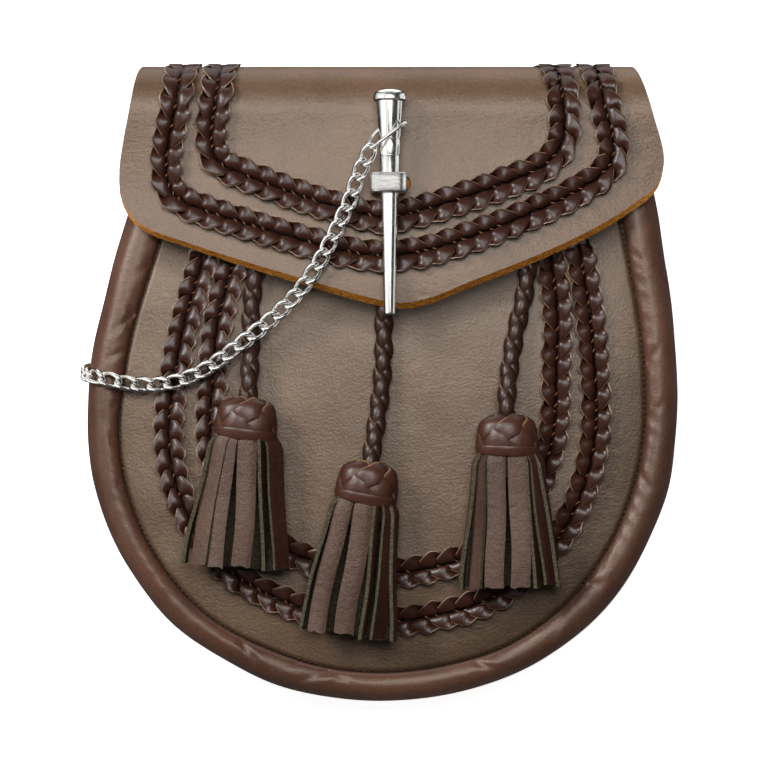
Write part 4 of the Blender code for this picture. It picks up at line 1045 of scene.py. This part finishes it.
def polished_metal(name, colour, roughness, scratch, deep):
    """Plated metal: a near mirror, with hair scratches from handling or from the brush. scratch is
    their size along X, Y and Z."""
    made = new_material(name, Base_Color=linear(colour), Metallic=1)
    place = add(made, "TexCoord", output="Object")
    drawn = add(made, "Mapping", Vector=place, Scale=[1000 / size for size in scratch])
    marks = add(made, "TexNoise", Vector=drawn, Scale=1, Detail=3, Roughness=0.6)
    rough = add(made, "MapRange", Value=marks, From_Min=0.3, From_Max=0.7,
                To_Min=0.6 * roughness, To_Max=1.5 * roughness)
    shade(made, Roughness=rough, Normal=add(made, "Bump", Height=marks, Distance=deep))
    return made


def dress_metal(made, node):
    """Dresses a metal piece. It is lit by its own cards and screened off from the two main lights."""
    dress(made, node)
    metal_pieces.objects.link(made)
    screened_metal.objects.link(made)
    screened_metal.collection_objects[-1].light_linking.link_state = "EXCLUDE"


def pin_height(y):
    return PIN_TOP[1] + (PIN_TIP[1] - PIN_TOP[1]) * (PIN_TOP[0] - y) / (PIN_TOP[0] - PIN_TIP[0])


def wire(line, thick):
    """A round wire along a closed line."""
    way = unit(np.roll(line, -1, 0) - np.roll(line, 1, 0))
    away = line - line.mean(0)
    out = unit(away - way * (way * away).sum(1)[:, None])
    rings = rings_round(line, out, np.cross(way, out), thick / 2, WIRE_SIDES)
    return rings.reshape(-1, 3), ring_faces(len(line), WIRE_SIDES, True)


def bent_strap(half_inside, height, metal, foot, depth, corner):
    """A strap bent into a bridge, on two feet or on its bare legs, with rounded edges."""
    half, top = half_inside + metal / 2, height - metal / 2
    bends = [(-half - out, metal / 2) for out in (foot, 0.6 * foot, 0.4)] if foot else []
    bends += [(-half, metal), (-half, top - corner), (-half + 0.3 * corner, top - 0.3 * corner),
              (-half + corner, top)]
    path = smooth_line(bends + [(-x, z) for x, z in reversed(bends)], 80)
    out = -to_right(tangents(path))
    u = np.array((-1, -0.96, -0.86, -0.5, 0, 0.5, 0.86, 0.96, 1, 0.96, 0.86, 0, -0.86, -0.96))
    v = np.array((0, 0.3, 0.46, 0.5, 0.5, 0.5, 0.46, 0.3, 0, -0.3, -0.5, -0.5, -0.5, -0.3))
    x = path[:, :1] + out[:, :1] * v * metal
    z = path[:, 1:] + out[:, 1:] * v * metal
    return np.stack([x, 0 * x + u * depth / 2, z], -1), ring_faces(len(path), len(u))


# Chrome over steel: whiter than the steel and hard, so it keeps a clear mirror
chrome = polished_metal("polished_chrome", "#f2f0ec", roughness=0.2, scratch=(2.5, 2.5, 2.5), deep=0.00001)
# The same on round wire, where only the finest scratches fit
chain_plate = polished_metal(
    "plated_chain_wire", "#f8f6f2", roughness=0.14, scratch=(0.8, 0.8, 0.8), deep=0.00003)
# Brushed across before it was plated, which blurs its mirror into streaks
brushed_plate = polished_metal(
    "brushed_nickel_plate", "#d2d0cc", roughness=0.3, scratch=(6.0, 0.35, 2.0), deep=0.00012)
staple_foot = max(front_height(STAPLE_X, STAPLE_Y + way * STAPLE_DEPTH / 2) for way in (-1, 1)) + GAP
staple_foot -= STAPLE_SUNK
staple_top = pin_height(STAPLE_Y) + OVER_PIN + STAPLE_METAL
rings, faces = bent_strap(half_inside=4.3, height=staple_top - staple_foot, metal=STAPLE_METAL, foot=0,
                          depth=STAPLE_DEPTH, corner=2.4)
dress_metal(piece("bent_staple", rings + (STAPLE_X, STAPLE_Y, staple_foot), faces, [brushed_plate]), "staple")

to_side, upward = np.array(((1, 0, 0),)), np.array(((0, 0, 1),))
pin_down = unit(np.array((0, PIN_TIP[0] - PIN_TOP[0], PIN_TIP[1] - PIN_TOP[1])))
along_pin, pin_radius = np.array(PIN_PROFILE).T[..., None]
pin_rings = rings_round((PIN_X, *PIN_TOP) + along_pin * pin_down, to_side, np.cross(to_side, pin_down),
                        pin_radius[..., None], 64)
pin = piece("turned_pin", pin_rings, ring_faces(len(PIN_PROFILE), 64), [chrome], sharp=35)
hole_way = np.array((math.cos(CROSS_HOLE_TURN), math.sin(CROSS_HOLE_TURN), 0))
hole_middle = np.array((PIN_X, CROSS_HOLE_Y, pin_height(CROSS_HOLE_Y)))
hole_ends = rings_round(hole_middle + np.outer((-8, 8), hole_way), np.cross(upward, hole_way), upward,
                        CROSS_HOLE_RADIUS, 32)
cut_with(pin, piece("cross_hole_cutter", hole_ends, ring_faces(2, 32), [chrome]))
pin.data.set_sharp_from_angle(angle=math.radians(35))
dress_metal(pin, "pin")

ring_line = smooth_line(RING_LOOP, 73, closed=True)[:-1] + hole_middle
dress_metal(piece("chain_ring", *wire(ring_line, RING_WIRE), [chrome]), "pin_ring")

turn = full_turn(40)
link_line = np.column_stack([
    (LINK_LENGTH - 1) / 2 * np.cos(turn), (LINK_WIDTH - 1) / 2 * np.sin(turn), LINK_TWIST * np.sin(2 * turn)])
rings, faces = wire(link_line, LINK_WIRE)
chain_length = distance_along(smooth_line(CHAIN_ROUTE, 400))[-1]
chain_points = smooth_line(CHAIN_ROUTE, round(chain_length / LINK_PITCH) + 1)
for number, (point, way) in enumerate(zip(chain_points, tangents(chain_points)), 1):
    dropping = ease((-way[2] - 0.3) / 0.6)
    across = unit(np.cross((-dropping, 0, 1 - dropping), way))
    axes = np.array((way, across, np.cross(way, across)))
    link = piece(f"curb_link_{number:02d}", rings @ axes + point, faces, [chain_plate])
    dress_metal(link, f"chain_link_{number:02d}")

rings, faces = bent_strap(half_inside=1.7, height=4.8, metal=1.1, foot=1.6, depth=1.5, corner=1.2)
lean = ANCHOR_TILT - math.pi / 2
leaning = np.array(((math.cos(lean), 0, -math.sin(lean)), (0, 1, 0), (math.sin(lean), 0, math.cos(lean))))
dress_metal(piece("chain_eye", rings @ leaning + ANCHOR_PLACE, faces, [chrome]), "chain_anchor")
